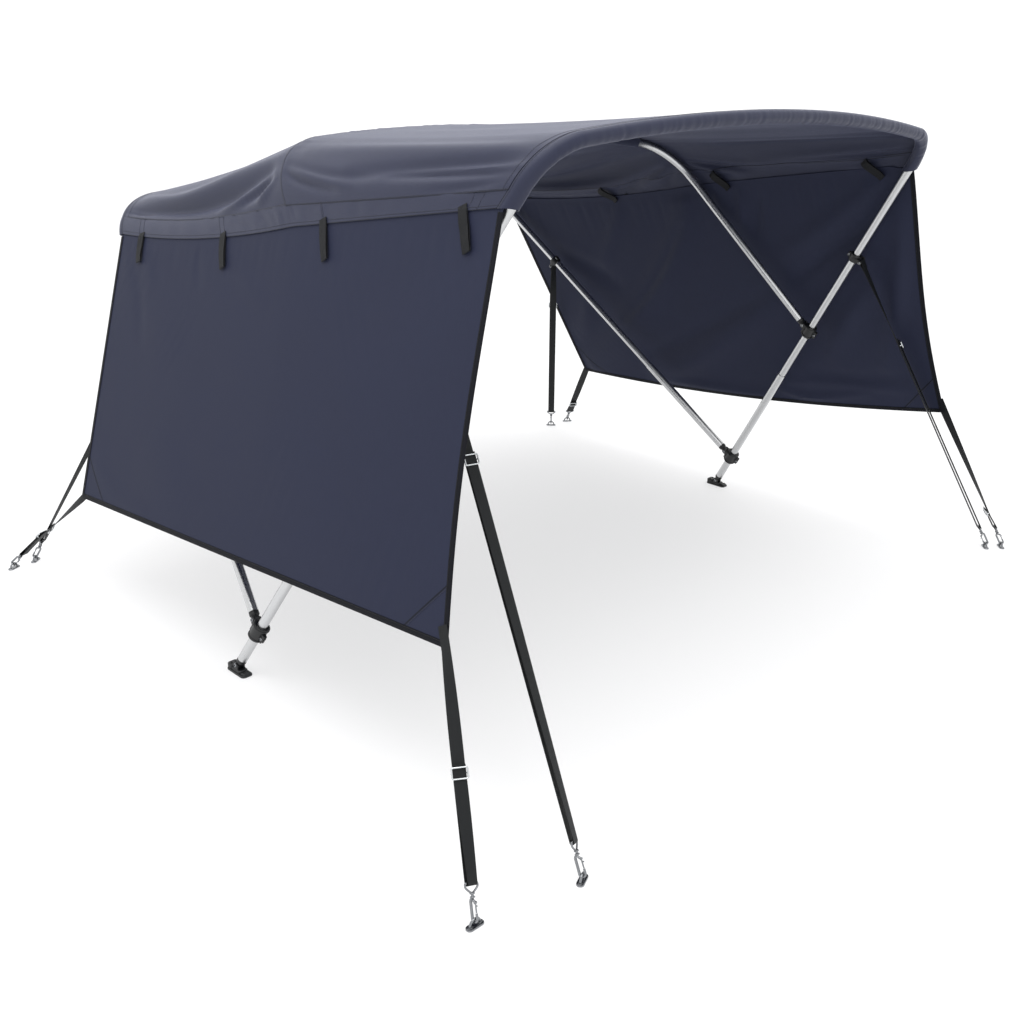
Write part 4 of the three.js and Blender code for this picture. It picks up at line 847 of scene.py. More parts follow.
def sleeve(name):
    """Hem that runs round a bow, with the small puckers of its seams."""
    sizes = SLEEVES[name]
    bow, line = sizes["bow"], catmull(sizes["section"], 2)
    q = CANOPY_Q[np.abs(CANOPY_Q) >= sizes["q"]]
    places = bow.columns(q)
    steps = np.linspace(0, len(q) - 1, 2 * len(q))
    fine = np.interp(steps, np.arange(len(q)), places)
    q = np.interp(steps, np.arange(len(q)), np.abs(q))
    loosen = bow.covers_at(q) / bow.covers[2]
    run = np.concatenate([[0], np.cumsum(np.linalg.norm(np.diff(line, axis=0), axis=1))])
    around = run / run[-1]
    puckers = ripples(fine, 11, "puckers")
    rows = []
    for (back, out), share in zip(line, around):
        slack = puckers * math.exp(-((share - SLACK["at"]) / SLACK["over"]) ** 2)
        slack = slack * smoothstep(np.abs(q), 0.6, 1.2)
        scale = loosen if out > 0 else np.ones_like(loosen)
        lean = math.hypot(back, out)
        rows.append(bow.beside(fine, out * scale + slack * out / lean, back + slack * back / lean))
    grid = np.stack(rows)
    # distance from the sleeve's edges, along which the canvas paints a seam shadow line
    seam = np.broadcast_to(np.minimum(run, run[-1] - run)[:, None], grid.shape[:2])
    outside = np.sum((grid - bow.axis(fine)[None]) * grid_normals(grid)) > 0
    return Cloth(grid, sizes["thick"], seam) if outside else Cloth(grid[::-1], sizes["thick"], seam[::-1])


sleeves = {name: sleeve(name) for name in SLEEVES}


# Tubes

BOW_SIDES = 32


def bow_tube(bow, places, radius):
    return tube(bow.axis(places), bow.outward(places), radius, BOW_SIDES)


def upper_tube(bow, height):
    q = CANOPY_Q[np.abs(CANOPY_Q) >= 1]
    right, left = (bow.place_at(side, height) for side in (-1, 1))
    crown = bow.columns(q)
    legs = [np.linspace(right, crown[0], 12)[:-1], np.linspace(crown[-1], left, 12)[1:]]
    return bow_tube(bow, np.concatenate([legs[0], crown, legs[1]]), TUBE_RADIUS)


def lower_tube(bow, side, plug, joint):
    heights = np.linspace(bow.height_after(side, plug[1] + GAP), joint - GAP, 9)
    return bow_tube(bow, [bow.place_at(side, height) for height in heights], LOWER_TUBE_RADIUS)


# Webbing

WEBBING = {"width": 25, "thick": 1.6}
# Straps by their names, which say the side, the end and what they hold. "pad" is the place of the deck eye,
# "buckle" the buckle's distance from it, "face" the side of the wall that the strap is sewn on, "lay" the
# side that its doubled part folds to, and "turn" how far that part twists, in radians.
STRAPS = {
    "right_front_frame": {"pad": (1135, -984), "buckle": 819, "lay": -1, "turn": -0.75},
    "left_front_frame": {"pad": (959, 1176), "buckle": 738},
    "right_rear_frame": {"pad": (-1000, -1100), "buckle": 112},
    "left_rear_frame": {"pad": (-912, 1104), "buckle": 624},
    "right_front_wall": {"face": 1, "pad": (1083, -1213), "buckle": 254, "lay": -1, "turn": -0.65},
    "left_front_wall": {"face": 1, "pad": (993, 1216), "buckle": 122},
    "right_rear_wall": {"face": -1, "pad": (-990, -1170), "buckle": 171},
    "left_rear_wall": {"face": 1, "pad": (-906, 1200), "buckle": 124},
}
for strap_name, strap_sizes in STRAPS.items():
    strap_side, strap_end, _ = strap_name.split("_")
    strap_sizes.update(side=strap_side, end=strap_end)
    strap_sizes.setdefault("lay", 1)
    strap_sizes.setdefault("turn", 0)
BAR_RADIUS = 2.5
LOOP_SLACK = 0.3
STRAP_STEPS = {"twist": 22, "loop": 9, "doubled": 14}
STRAP_HOLD = 45                 # a wall strap is sewn on over this length
STRAP_BELOW = 4                 # its free part starts this far below the corner
BINDING_LIFT = 1.1              # it lies this far over the binding's middle
TAIL = {"length": 32, "free": 28}
# A strap's twist ends "before" its buckle, and its doubled part starts "after" it.
BUCKLE = {
    "length": 24, "lift": 5.2, "before": 4, "after": 2, "wire": 1.7, "bar": 1.5, "corner": 3.2,
    "over": 1.5, "beside": 2.2,
}
SLIDE = {
    "length": 24, "wall": 4.6, "reach": 22, "cheek": 3, "cheek_length": 12, "rim": 4, "clear": 1.5,
    "boss": (2.5, 0.6, 5.6), "head": 0.5,
}
HOOK = {
    "wire": 2.4, "half": 5.8, "straight": 29, "slack": 0.1, "barrel": (6, 17), "barrel_radius": 5,
    "bail": 32, "bar": 15.5, "shoulder": 7, "neck": 16.5, "neck_half": 2.5, "side": 2,
}
# The hook's gate: the pin that it turns on, the post of that pin, its wire and its thumb piece, with radii
GATE = {
    "pin": (2.9, 2.6), "post": (3, 2.5), "wire": 1.5, "thumb_at": 0.34, "thumb": (4.2, 1.3),
    "below": 1.5, "inside": 0.92, "nose": 0.6,
}
EYE = {
    "wire": 2.5, "height": 16, "half": 12, "plate": (40, 16, 3), "weld": (0.4, 1.4), "screw_inset": 4.2,
    "screw_depth": 0.4,
}


def webbing(points, sides, thick=WEBBING["thick"]):
    """Woven strap through points; sides are the directions of its width."""
    points, sides = np.asarray(points, float), unit(sides)
    gaps = unit(np.diff(points, axis=0))
    before = np.concatenate([gaps[:1], gaps])
    after = np.concatenate([gaps, gaps[-1:]])
    runs = unit(before + after)
    stretch = 1 / np.sum(before * runs, 1, keepdims=True)
    normals = cross(sides, runs) * stretch
    x, y, edge = WEBBING["width"] / 2, thick / 2, thick * 0.3
    section = [
        (-x + edge, -y), (0, -y), (x - edge, -y), (x, -y + edge), (x, y - edge),
        (x - edge, y), (0, y), (-x + edge, y), (-x, y - edge), (-x, -y + edge),
    ]
    around = [edge, x, 2 * x - edge, 2 * x, 2 * x, 2 * x - edge, x, edge, 0, 0]
    rings = [place(section, p, s, n) for p, s, n in zip(points, sides, normals)]
    return loft(rings, around)


def spun(direction, axis, angle):
    """Direction square to an axis, turned about it."""
    return direction * math.cos(angle) + cross(axis, direction) * math.sin(angle)


def strap_line(data):
    """Where a strap starts, the top of its deck eye, its directions and the bar of its hook."""
    eye = np.array([*data["pad"], EYE["height"]], float)
    if "face" in data:
        cloth = walls[data["side"]]
        column = 0 if (data["end"] == "front") == (data["side"] == "right") else -1
        corner = cloth.grid[-1, column]
        outward = cloth.normals[-1, column] * data["face"]
        down = flatten(unit(eye - corner), outward)
        lifted = corner - cloth.normals[-1, column] * SHEET / 2
        lifted = lifted + outward * (BINDING["half"] + BINDING_LIFT + GAP + WEBBING["thick"] / 2)
        line = {
            "sewn": lifted - down * STRAP_HOLD,
            "top": lifted + down * STRAP_BELOW, "top_across": cross(outward, down),
        }
    else:
        bow = END_BOWS[data["end"]]
        spot = bow.place_at(SIDES[data["side"]], SLIDE_HEIGHTS[data["end"]])
        centre, axis = bow.axis(spot)[0], bow.tangent(spot)[0]
        out = flatten(unit(eye - centre), axis)
        line = {
            "centre": centre, "axis": axis, "out": out,
            "top": centre + out * SLIDE["reach"], "top_across": cross(axis, out),
        }
    down = unit(eye - line["top"])
    across = cross(down, UP)
    if across @ line["top_across"] < 0:
        across = -across
    hook_across = spun(across, down, data["turn"])
    return {
        **line, "eye": eye, "down": down, "across": across, "normal": cross(across, down),
        "bar": eye - down * (HOOK["slack"] + HOOK["straight"] + HOOK["bail"]),
        "hook_across": hook_across, "hook_normal": cross(hook_across, down),
    }


def turn_towards(start, end, share):
    """Direction turned from start to end by a share of the angle between them."""
    angle = math.acos(np.clip(start @ end, -1, 1))
    if angle < 1e-4:
        return end
    return (math.sin((1 - share) * angle) * start + math.sin(share * angle) * end) / math.sin(angle)


def strap(data):
    """Webbing: sewn end or loop round the slide, twist to the buckle, and the doubled part to the hook."""
    line = strap_line(data)
    top, down, across = line["top"], line["down"], line["across"]
    length = np.linalg.norm(line["bar"] - top)
    buckle = np.linalg.norm(line["eye"] - top) - data["buckle"]
    loop = BAR_RADIUS + GAP + LOOP_SLACK + WEBBING["thick"] / 2
    pitch = WEBBING["thick"] + GAP
    sewn = "face" in data
    twist = (0 if sewn else TAIL["length"], buckle - BUCKLE["length"] / 2 - BUCKLE["before"])
    doubled = (buckle + BUCKLE["length"] / 2 + BUCKLE["after"], length)
    start_side = flatten(line["top_across"], down)

    def arc(centre, sign):
        turns = (np.linspace(0, 1, STRAP_STEPS["loop"]) - 0.5) * math.pi
        return [(centre + sign * loop * math.cos(a), sign * loop * math.sin(a)) for a in turns]

    def ply(start, end):
        shares = np.linspace(0, 1, STRAP_STEPS["doubled"])
        return [(mix(*doubled, t), mix(start, end, t)) for t in shares]

    path = [] if sewn else [(TAIL["free"], pitch), *arc(0, -1)]
    path += [(x, 0) for x in np.linspace(*twist, STRAP_STEPS["twist"])]
    path += [*ply(0, -loop)[:-1], *arc(length, 1), *ply(BUCKLE["lift"], loop)[-2::-1]]
    path += [(twist[1], BUCKLE["lift"])]
    points, sides = [], []
    for distance, lift in path:
        share = float(np.clip((distance - twist[0]) / (twist[1] - twist[0]), 0, 1))
        side = turn_towards(start_side, across, share)
        if distance > doubled[0]:
            turned = min((distance - doubled[0]) / (doubled[1] - doubled[0]), 1)
            side = spun(across, down, data["turn"] * turned)
        points.append(top + down * distance + cross(side, down) * lift * data["lay"])
        sides.append(side)
    if sewn:
        points.insert(0, line["sewn"])
        sides.insert(0, line["top_across"])
    return webbing(points, sides)


# Roll-up tabs: webbing folded double, sewn to the hem outside and under the valance seam inside

TAB_PLACES = (-740, -295, 145, 610)
TAB = {
    "thick": 1.5, "ply_gap": 1.9, "patch": 12, "clear": 2.4, "bulge": 1.4, "curl": 0.16, "turn": 2.2,
    "outer": {"drop": 84, "slant": 0.3, "stations": (0.25, 0.45, 0.7, 0.97), "at_hem": 0.4, "above_hem": 2},
    "inner": {
        "drop": 80, "slant": 0.6, "stations": (0.78, 0.97), "below_seam": 9, "start": 0.3, "bend": 14,
        "bulges": (2, 1.5),
    },
}


def valance_frame(key, x):
    """Hem and seam points of a valance at an X, and its own directions there."""
    side = SIDES[key]
    grid = canopy
    hem, seam = (0, FIRST) if side < 0 else (-1, LAST)
    row = int(np.argmax(grid[:, hem, 0] <= x))
    share = (grid[row - 1, hem, 0] - x) / (grid[row - 1, hem, 0] - grid[row, hem, 0])
    hem_point, seam_point = (mix(grid[row - 1, k], grid[row, k], share) for k in (hem, seam))
    forward = unit(grid[row - 1, hem] - grid[row, hem])
    up = flatten(unit(seam_point - hem_point), forward)
    out = cross(forward, up)
    return hem_point, seam_point, forward, up, out * np.sign(out[1] * side), row - share


def wall_width(key, x, z):
    """Distance of a wall's outer face from the centre plane at an X and a height."""
    grid = walls[key].grid[1:]
    column = int(np.argmin(np.abs(grid[0, :, 0] - x)))
    line = grid[:, column]
    return abs(float(np.interp(-z, -line[:, 2], line[:, 1])))


def hanging(key, top, down, lengths, lifts, inside=False):
    """Points of a tab below its top, moved across to lie clear of the wall, outside or inside of it."""
    points = []
    for length, lift in zip(lengths, np.broadcast_to(lifts, lengths.shape)):
        x, _, z = top + down * length
        edges = [wall_width(key, x + share * WEBBING["width"], z) for share in (-0.5, 0, 0.5)]
        clear = TAB["clear"] + lift
        across = min(edges) - SHEET - clear if inside else max(edges) + clear
        points.append(np.array([x, SIDES[key] * across, z]))
    return points


def double_ply(outer, inner, across):
    """Strip that goes down one line, turns at its end and comes back up the other, curled a little."""
    turn = mix(outer[-1], inner[-1], 0.5) + unit(outer[-1] - outer[-2]) * TAB["turn"]
    points = catmull([*outer, turn, *inner[::-1]], 4)
    share = 1 - np.abs(np.linspace(-1, 1, len(points)))[:, None]
    curl = cross(outer[-1] - outer[0], across) * TAB["curl"] * smoothstep(share, 0.3, 1)
    return webbing(points, across + curl, thick=TAB["thick"])


def leaning(forward, up, slant):
    """Direction of a tab that leans to the front."""
    return forward * slant - up * math.sqrt(1 - slant ** 2)


def outer_tab(key, x):
    sizes = TAB["outer"]
    hem, _, forward, up, out, _ = valance_frame(key, x)
    down = leaning(forward, up, sizes["slant"])
    half, gap = TAB["thick"] / 2, TAB["ply_gap"]
    lengths = np.array(sizes["stations"]) * sizes["drop"]
    bulge = TAB["bulge"] * np.sin(lengths / sizes["drop"] * math.pi)
    outer = [hem - down * TAB["patch"] + out * (half + gap / 2), hem + out * (half + gap + sizes["at_hem"])]
    outer += hanging(key, hem, down, lengths, half + gap + bulge)
    inner = [hem - down * sizes["above_hem"] + out * half, *hanging(key, hem, down, lengths, half)]
    return double_ply(outer, inner, cross(down, out))


def inner_tab(key, x):
    sizes = TAB["inner"]
    _, seam, forward, up, out, _ = valance_frame(key, x - sizes["drop"] * sizes["slant"])
    down = leaning(forward, up, sizes["slant"])
    top = seam - up * sizes["below_seam"] - out * FABRIC
    start, bend = (top + down * sizes[k] for k in ("start", "bend"))
    upper_bulge, lower_bulge = sizes["bulges"]
    half, gap = TAB["thick"] / 2, TAB["ply_gap"]
    clear = SHEET + WALL_BEHIND + TAB["clear"] + half
    lengths = np.array(sizes["stations"]) * sizes["drop"]
    near = [start - out * half, bend - out * clear]
    near += hanging(key, top, down, lengths, half, inside=True)
    far = [start - out * (half + gap), bend - out * (clear + gap + upper_bulge)]
    far += hanging(key, top, down, lengths, half + gap + lower_bulge, inside=True)
    return double_ply(near, far, cross(down, out))


# Fittings

CHEEK = {"thick": 4.5, "offset": 9.2, "width": 17, "chamfer": 0.8}
TONGUE = {"width": 14.6, "depth": 15}
RING_CLEARANCE = 0.75
NECK = {"before": 3, "inside": 1, "thinner": 2.4}      # between a tongue and its plug
# Ears beside the split of a clamp, with the place of their screw's head: apart from the middle, and outwards
EARS = {
    "jaw": {
        "beyond": 3.5, "size": (12, 4.4), "length_share": 0.56, "edge": 1.3, "apart": 3.1, "head": (5.4, 1.2),
    },
    "slide": {
        "beyond": 2.5, "size": (9, 3.8), "length_share": 0.625, "edge": 1.1, "apart": 2.6, "head": (4.5, 0.6),
    },
}
RIB = {"inset": 5, "over": 1, "higher": 0.9, "length": 5}
BRIDGE = {"depth": 7, "width": 20, "shorter": 8, "edge": 1.6}
# Screw heads by what they hold, with radius and height
SCREWS = {
    "pivot": (5.6, 2.6), "jaw": (4.2, 2.2), "slide": (3.6, 1.8), "bar": (4.6, 2.6), "foot": (3.6, 1.8),
    "eye": (2.9, 1.5),
}


def cheek_plate(root, pin, side, offset, solid):
    """Arm of a fork, straight from its root and round about the pin."""
    direction = unit(pin - root)
    normal = cross(direction, side)
    half, radius = CHEEK["thick"] / 2, CHEEK["width"] / 2
    turns = np.linspace(-math.pi / 2, math.pi / 2, 17)
    reach = np.linalg.norm(pin - root)
    end = [(reach + radius * math.cos(a), radius * math.sin(a)) for a in turns]
    outline = [(0, -radius), *end, (0, radius)]
    rings, edge = [], CHEEK["chamfer"]
    for level, shrink in ((-half, edge), (-half + edge, 0), (half - edge, 0), (half, edge)):
        shape = [(x - shrink * (x > reach), y * (1 - shrink / radius)) for x, y in outline]
        rings.append(place(shape, root + side * (offset + level), direction, normal))
    solid.add(*loft(rings))


def screw_head(centre, axis, holds, solid):
    """Pan head with a hexagon socket."""
    radius, height = SCREWS[holds]
    profile = [
        (0.01, height * 0.35), (radius * 0.42, height * 0.35), (radius * 0.46, height),
        (radius * 0.72, height), (radius * 0.95, height * 0.6), (radius, 0), (0.01, 0),
    ]
    solid.add(*lathe(centre, axis, profile, sides=18))


def hinge_joint(root, pin, foot, leg, across, plug, radius, body, metal):
    """Fork, pin and the eye end of the leg that turns in it."""
    side = flatten(across, unit(pin - root))
    for sign in (-1, 1):
        cheek_plate(root, pin, side, sign * CHEEK["offset"], body)
        face = pin + across * sign * (CHEEK["offset"] + CHEEK["thick"] / 2)
        screw_head(face, across * sign, "pivot", metal)
    start, end = np.linalg.norm(pin - foot), plug[0] + NECK["inside"]
    half = across * TONGUE["width"] / 2
    body.add(*rod(pin - half, pin + half, TONGUE["depth"] / 2, 28, 0.8))
    middle, sizes = foot + leg * (start + end) / 2, [end - start, TONGUE["width"], TONGUE["depth"]]
    body.add(*block(middle, [leg, across, cross(leg, across)], sizes, 1))
    body.add(*rod(foot + leg * plug[0], foot + leg * plug[1], radius, 40, 1.4))
    neck = foot + leg * (plug[0] - NECK["before"])
    body.add(*rod(neck, foot + leg * end, radius - NECK["thinner"], 32, 1.2))


def leg_from(bow, side):
    foot, higher = bow.axis([bow.place_at(side, 0), bow.place_at(side, 100)])
    return foot, unit(higher - foot)


def clamp_ears(centre, directions, outer, length, kind, body, metal):
    """Two ears beside the split of a clamp, with the heads of the screw that closes it."""
    sizes = EARS[kind]
    out, across, _ = directions
    ear = centre - out * (outer + sizes["beyond"])
    size = [*sizes["size"], length * sizes["length_share"]]
    apart, outwards = sizes["head"]
    for sign in (-1, 1):
        body.add(*block(ear + across * sign * sizes["apart"], directions, size, sizes["edge"]))
        screw_head(ear + across * sign * apart - out * outwards, across * sign, kind, metal)


def jaw(side, sizes, radius, bow):
    """Sliding jaw: split ring with a clamping screw, and the fork that carries the other leg."""
    body, metal = Solid(), Solid()
    centre, above = MAIN.axis([MAIN.place_at(side, sizes["height"] + more) for more in (0, 50)])
    axis = unit(above - centre)
    bore = radius + RING_CLEARANCE
    foot, leg = leg_from(bow, side)
    across, out = cross(leg, axis), flatten(leg, axis)
    outer = bore + sizes["wall"]
    body.add(*ring(centre, axis, bore, sizes["wall"], sizes["length"], 1.4))
    for shift in (-1, 1):
        rib = centre + axis * shift * (sizes["length"] / 2 - RIB["inset"])
        body.add(*ring(rib, axis, bore + RIB["over"], sizes["wall"] + RIB["higher"], RIB["length"], 1.2))
    bridge = [BRIDGE["depth"], BRIDGE["width"], sizes["length"] - BRIDGE["shorter"]]
    body.add(*block(centre + out * outer, [out, across, axis], bridge, BRIDGE["edge"]))
    clamp_ears(centre, [out, across, axis], outer, sizes["length"], "jaw", body, metal)
    root, pin = foot + leg * (bore + 2), foot + leg * sizes["reach"]
    hinge_joint(root, pin, foot, leg, across, sizes["plug"], radius, body, metal)
    return body, metal


# Foot of the deck hinge: a plate, and raised lobes with their place along it and their size. All but the
# first lobe have two screws.
HINGE_FOOT = {
    "size": (77, 32, 5), "corner": 10, "edge": 1.6, "fork": 3,
    "lobes": ((0, (40, 26, 8)), (-26, (23, 27, 14)), (27, (19, 24, 5))),
    "lobe_base": 4, "lobe_corner": 7, "lobe_edge": 2.2, "screw_places": (-6.5, 6.5), "screw_depth": 0.2,
}


def deck_hinge(side):
    body, metal = Solid(), Solid()
    foot, leg = leg_from(MAIN, side)
    pin = foot + leg * DECK_PIN
    across = cross(leg, np.array([1.0, 0, 0]))
    base = np.array([pin[0], pin[1], 0])
    forward, level = np.array([1.0, 0, 0]), HINGE_FOOT["lobe_base"]
    body.add(*plate(base, forward, HINGE_FOOT["size"], HINGE_FOOT["corner"], HINGE_FOOT["edge"]))
    for x, size in HINGE_FOOT["lobes"]:
        middle = base + np.array([x, 0, level])
        body.add(*plate(middle, forward, size, HINGE_FOOT["lobe_corner"], HINGE_FOOT["lobe_edge"]))
    root = base + UP * HINGE_FOOT["fork"]
    hinge_joint(root, pin, foot, leg, across, DECK_PLUG, LOWER_TUBE_RADIUS, body, metal)
    for x, (_, _, height) in HINGE_FOOT["lobes"][1:]:
        for y in HINGE_FOOT["screw_places"]:
            head = base + np.array([x, y, level + height - HINGE_FOOT["screw_depth"]])
            screw_head(head, UP, "foot", body)
    return body, metal


def strap_slide(data):
    """Slide on a bow: split clamp, two cheeks and the bar that the strap loops round."""
    body, metal = Solid(), Solid()
    line = strap_line(data)
    centre, axis, out, across = (line[k] for k in ("centre", "axis", "out", "top_across"))
    bore = TUBE_RADIUS + RING_CLEARANCE
    body.add(*ring(centre, axis, bore, SLIDE["wall"], SLIDE["length"], 1.3))
    inner = WEBBING["width"] / 2 + SLIDE["clear"]
    boss_in, boss_out, boss_radius = SLIDE["boss"]
    depth = SLIDE["reach"] + SLIDE["rim"]
    for sign in (-1, 1):
        middle = centre + out * depth / 2 + across * sign * (inner + SLIDE["cheek"] / 2)
        body.add(*block(middle, [out, across, axis], [depth, SLIDE["cheek"], SLIDE["cheek_length"]], 1.2))
        boss = line["top"] + across * sign * (inner + SLIDE["cheek"])
        outwards = across * sign
        body.add(*rod(boss - outwards * boss_in, boss + outwards * boss_out, boss_radius, 28, 0.6))
        screw_head(boss + outwards * SLIDE["head"], outwards, "bar", metal)
    metal.add(*rod(line["top"] - across * inner, line["top"] + across * inner, BAR_RADIUS, 16))
    outer = bore + SLIDE["wall"]
    clamp_ears(centre, [out, across, axis], outer, SLIDE["length"], "slide", body, metal)
    return body, metal


def buckle(data):
    """Wire buckle: a rounded frame over the strap and a bar between its two plies."""
    line, metal = strap_line(data), Solid()
    down, across, normal = line["down"], line["across"], line["normal"] * data["lay"]
    centre = line["eye"] - down * data["buckle"]
    wire, bar = BUCKLE["wire"], BUCKLE["bar"]
    front = BUCKLE["lift"] + WEBBING["thick"] / 2 + GAP + BUCKLE["over"]
    half_width = WEBBING["width"] / 2 + GAP + BUCKLE["beside"]
    outline = rounded(BUCKLE["length"] - 2 * wire, 2 * half_width, BUCKLE["corner"], 6)
    path = place(outline, centre + normal * front, down, across)
    tangents = unit(np.roll(path, -1, 0) - np.roll(path, 1, 0))
    rings = [place(circle(wire, 12), p, normal, cross(t, normal)) for p, t in zip(path, tangents)]
    metal.add(*loop_loft(rings))
    bar_height = BUCKLE["lift"] / 2
    posts = [centre + across * sign * half_width for sign in (-1, 1)]
    for post in posts:
        metal.add(*rod(post + normal * (bar_height - 1), post + normal * front, wire, 12))
    metal.add(*rod(*[post + normal * bar_height for post in posts], bar, 12))
    return metal


def snap_hook(data):
    """Swivel snap hook: bail for the webbing, swivel, body with its nose, and the spring gate."""
    line, metal = strap_line(data), Solid()
    down, across, normal, bar = (line[k] for k in ("down", "hook_across", "hook_normal", "bar"))
    lower = line["eye"] - down * HOOK["slack"]
    upper = lower - down * HOOK["straight"]
    half = HOOK["half"]

    def turn(centre, first, last, steps):
        angles = np.linspace(first, last, steps)
        return [centre + down * half * math.cos(a) + normal * half * math.sin(a) for a in angles]

    body = [*turn(upper, math.pi, math.pi / 2, 7), *turn(lower, math.pi / 2, -math.pi / 2, 13)]
    body.append(lower - normal * half - down * HOOK["straight"] * 0.3)
    body = np.array([upper - down * (HOOK["barrel"][0] - 1), *body])
    share = np.linspace(0, 1, len(body))
    radii = HOOK["wire"] * (1.0 + 0.22 * np.sin(math.pi * share ** 0.7))
    metal.add(*tube(body, across, radii, 12))
    pivot = upper - normal * half * GATE["inside"] + down * GATE["below"]
    nose = body[-1] - down * GATE["nose"]
    (pin_half, pin), (post_start, post), (thumb_length, thumb) = (GATE[k] for k in ("pin", "post", "thumb"))
    metal.add(*rod(pivot - across * pin_half, pivot + across * pin_half, pin, 14, 0.5))
    metal.add(*rod(upper - down * post_start, pivot, post, 12))
    metal.add(*rod(pivot, nose, GATE["wire"], 10, 0.3))
    root = mix(pivot, nose, GATE["thumb_at"])
    metal.add(*rod(root, root - normal * thumb_length, thumb, 10, 0.4))
    near, far = (upper - down * distance for distance in HOOK["barrel"])
    collar = HOOK["barrel_radius"]
    profile = [
        (0.01, 0), (collar, 0.8), (collar, 3.4), (collar * 0.55, 4.2), (collar * 0.55, 6.4),
        (collar, 7.2), (collar, 9.8), (collar * 0.7, 11), (0.01, 11),
    ]
    metal.add(*lathe(near, unit(far - near), profile, sides=20))
    half_bail = [(HOOK["bar"], 0), (HOOK["bar"], HOOK["shoulder"]), (HOOK["neck_half"], HOOK["neck"])]
    points = [(-x, y) for x, y in half_bail] + half_bail[::-1]
    curve = catmull([(points[0][0], -0.5), *points[1:-1], (points[-1][0], -0.5)], 7)
    path = bar + curve[:, :1] * across + curve[:, 1:] * down
    metal.add(*tube(path, normal, HOOK["side"], 12))
    metal.add(*rod(bar - across * HOOK["bar"], bar + across * HOOK["bar"], BAR_RADIUS, 14, 0.6))
    return metal


def deck_eye(data):
    """Pad eye: a small plate with a wire arch, square to its strap."""
    metal = Solid()
    across = flatten(strap_line(data)["hook_across"], UP)
    foot = np.array([*data["pad"], 0.0])
    length, width, height = EYE["plate"]
    metal.add(*plate(foot, across, (length, width, height), width / 2 - 0.2, 0.9))
    angles = np.linspace(0, math.pi, 15)
    centre = EYE["height"] - EYE["half"]
    arch = [(-EYE["half"] * math.cos(a), centre + EYE["half"] * math.sin(a)) for a in angles]
    outline = [(-EYE["half"], height / 2), *arch, (EYE["half"], height / 2)]
    path = np.array([foot + across * x + UP * z for x, z in outline])
    metal.add(*tube(path, cross(across, UP), EYE["wire"], 14))
    sunk, weld = EYE["weld"]
    for sign in (-1, 1):
        root = foot + across * sign * EYE["half"] + UP * height
        metal.add(*ring(root, UP, EYE["wire"] - sunk, weld, weld, 0.5))
        place_along = length / 2 - EYE["screw_inset"]
        screw = foot + across * sign * place_along + UP * (height - EYE["screw_depth"])
        screw_head(screw, UP, "eye", metal)
    return metal


# Materials

def srgb(code):
    """Linear colour of a hex code."""
    values = [int(code[k:k + 2], 16) / 255 for k in (0, 2, 4)]
    return (*[v / 12.92 if v <= 0.04045 else ((v + 0.055) / 1.055) ** 2.4 for v in values], 1)


def connect(tree, node, values):
    """Sets inputs of a node, by name or number, to values or to the outputs of other nodes."""
    for name, value in values.items():
        if hasattr(value, "is_output"):
            tree.links.new(value, node.inputs[name])
        else:
            node.inputs[name].default_value = value


def add_node(tree, kind, values=None, **settings):
    """Adds a node with its settings and links, and gives its outputs."""
    node = tree.nodes.new(kind)
    for name, value in settings.items():
        setattr(node, name, value)
    connect(tree, node, values or {})
    return node.outputs


class Finish:
    """A named material and its shader."""

    def __init__(self, name, colour, roughness, **values):
        self.material = bpy.data.materials.new(name)
        self.material.use_nodes = True
        self.material.diffuse_color = srgb(colour)
        self.tree = self.material.node_tree
        self.surface({"Base Color": srgb(colour), "Roughness": roughness, **values})

    def surface(self, values):
        connect(self.tree, self.tree.nodes["Principled BSDF"], values)

    def node(self, kind, values=None, **settings):
        return add_node(self.tree, kind, values, **settings)


def yarns(finish, along, pitch_mm):
    """Height of round yarns side by side, 0 to 1."""
    turn = finish.node("ShaderNodeMath", {0: along, 1: math.pi / (pitch_mm * MM)}, operation="MULTIPLY")
    wave = finish.node("ShaderNodeMath", {0: turn[0]}, operation="SINE")
    return finish.node("ShaderNodeMath", {0: wave[0]}, operation="ABSOLUTE")[0]


def grain(finish, places, size_mm, depth_mm, strength, detail=2):
    """Fine raised grain."""
    scale = 1 / (size_mm * MM)
    noise = finish.node("ShaderNodeTexNoise", {"Vector": places, "Scale": scale, "Detail": detail})
    raised = {"Height": noise["Fac"], "Distance": depth_mm * MM, "Strength": strength}
    finish.surface({"Normal": finish.node("ShaderNodeBump", raised)["Normal"]})


def patchy_roughness(finish, places, size_mm, low, high, detail=2):
    """Roughness that goes from low to high in soft patches."""
    scale = 1 / (size_mm * MM)
    noise = finish.node("ShaderNodeTexNoise", {"Vector": places, "Scale": scale, "Detail": detail})
    share = finish.node("ShaderNodeMapRange", {"Value": noise["Fac"], "To Min": low, "To Max": high})
    finish.surface({"Roughness": share["Result"]})


SEAM_SHADOW_ENDS = (1.0, 2.2)           # the painted shadow in a seam's groove ends between these distances, in mm
# colour of the painted shadow in a seam's groove
SEAM_SHADOW_COLOUR = "181a22"
# Real yarns are about 0.5 mm wide. These are wider, so that a near view shows them.
YARN_MM = 0.9
WEFT_SHARE = 1.1
SLUB = {"width": 5, "stretch": 0.16}
CLOUD = 190


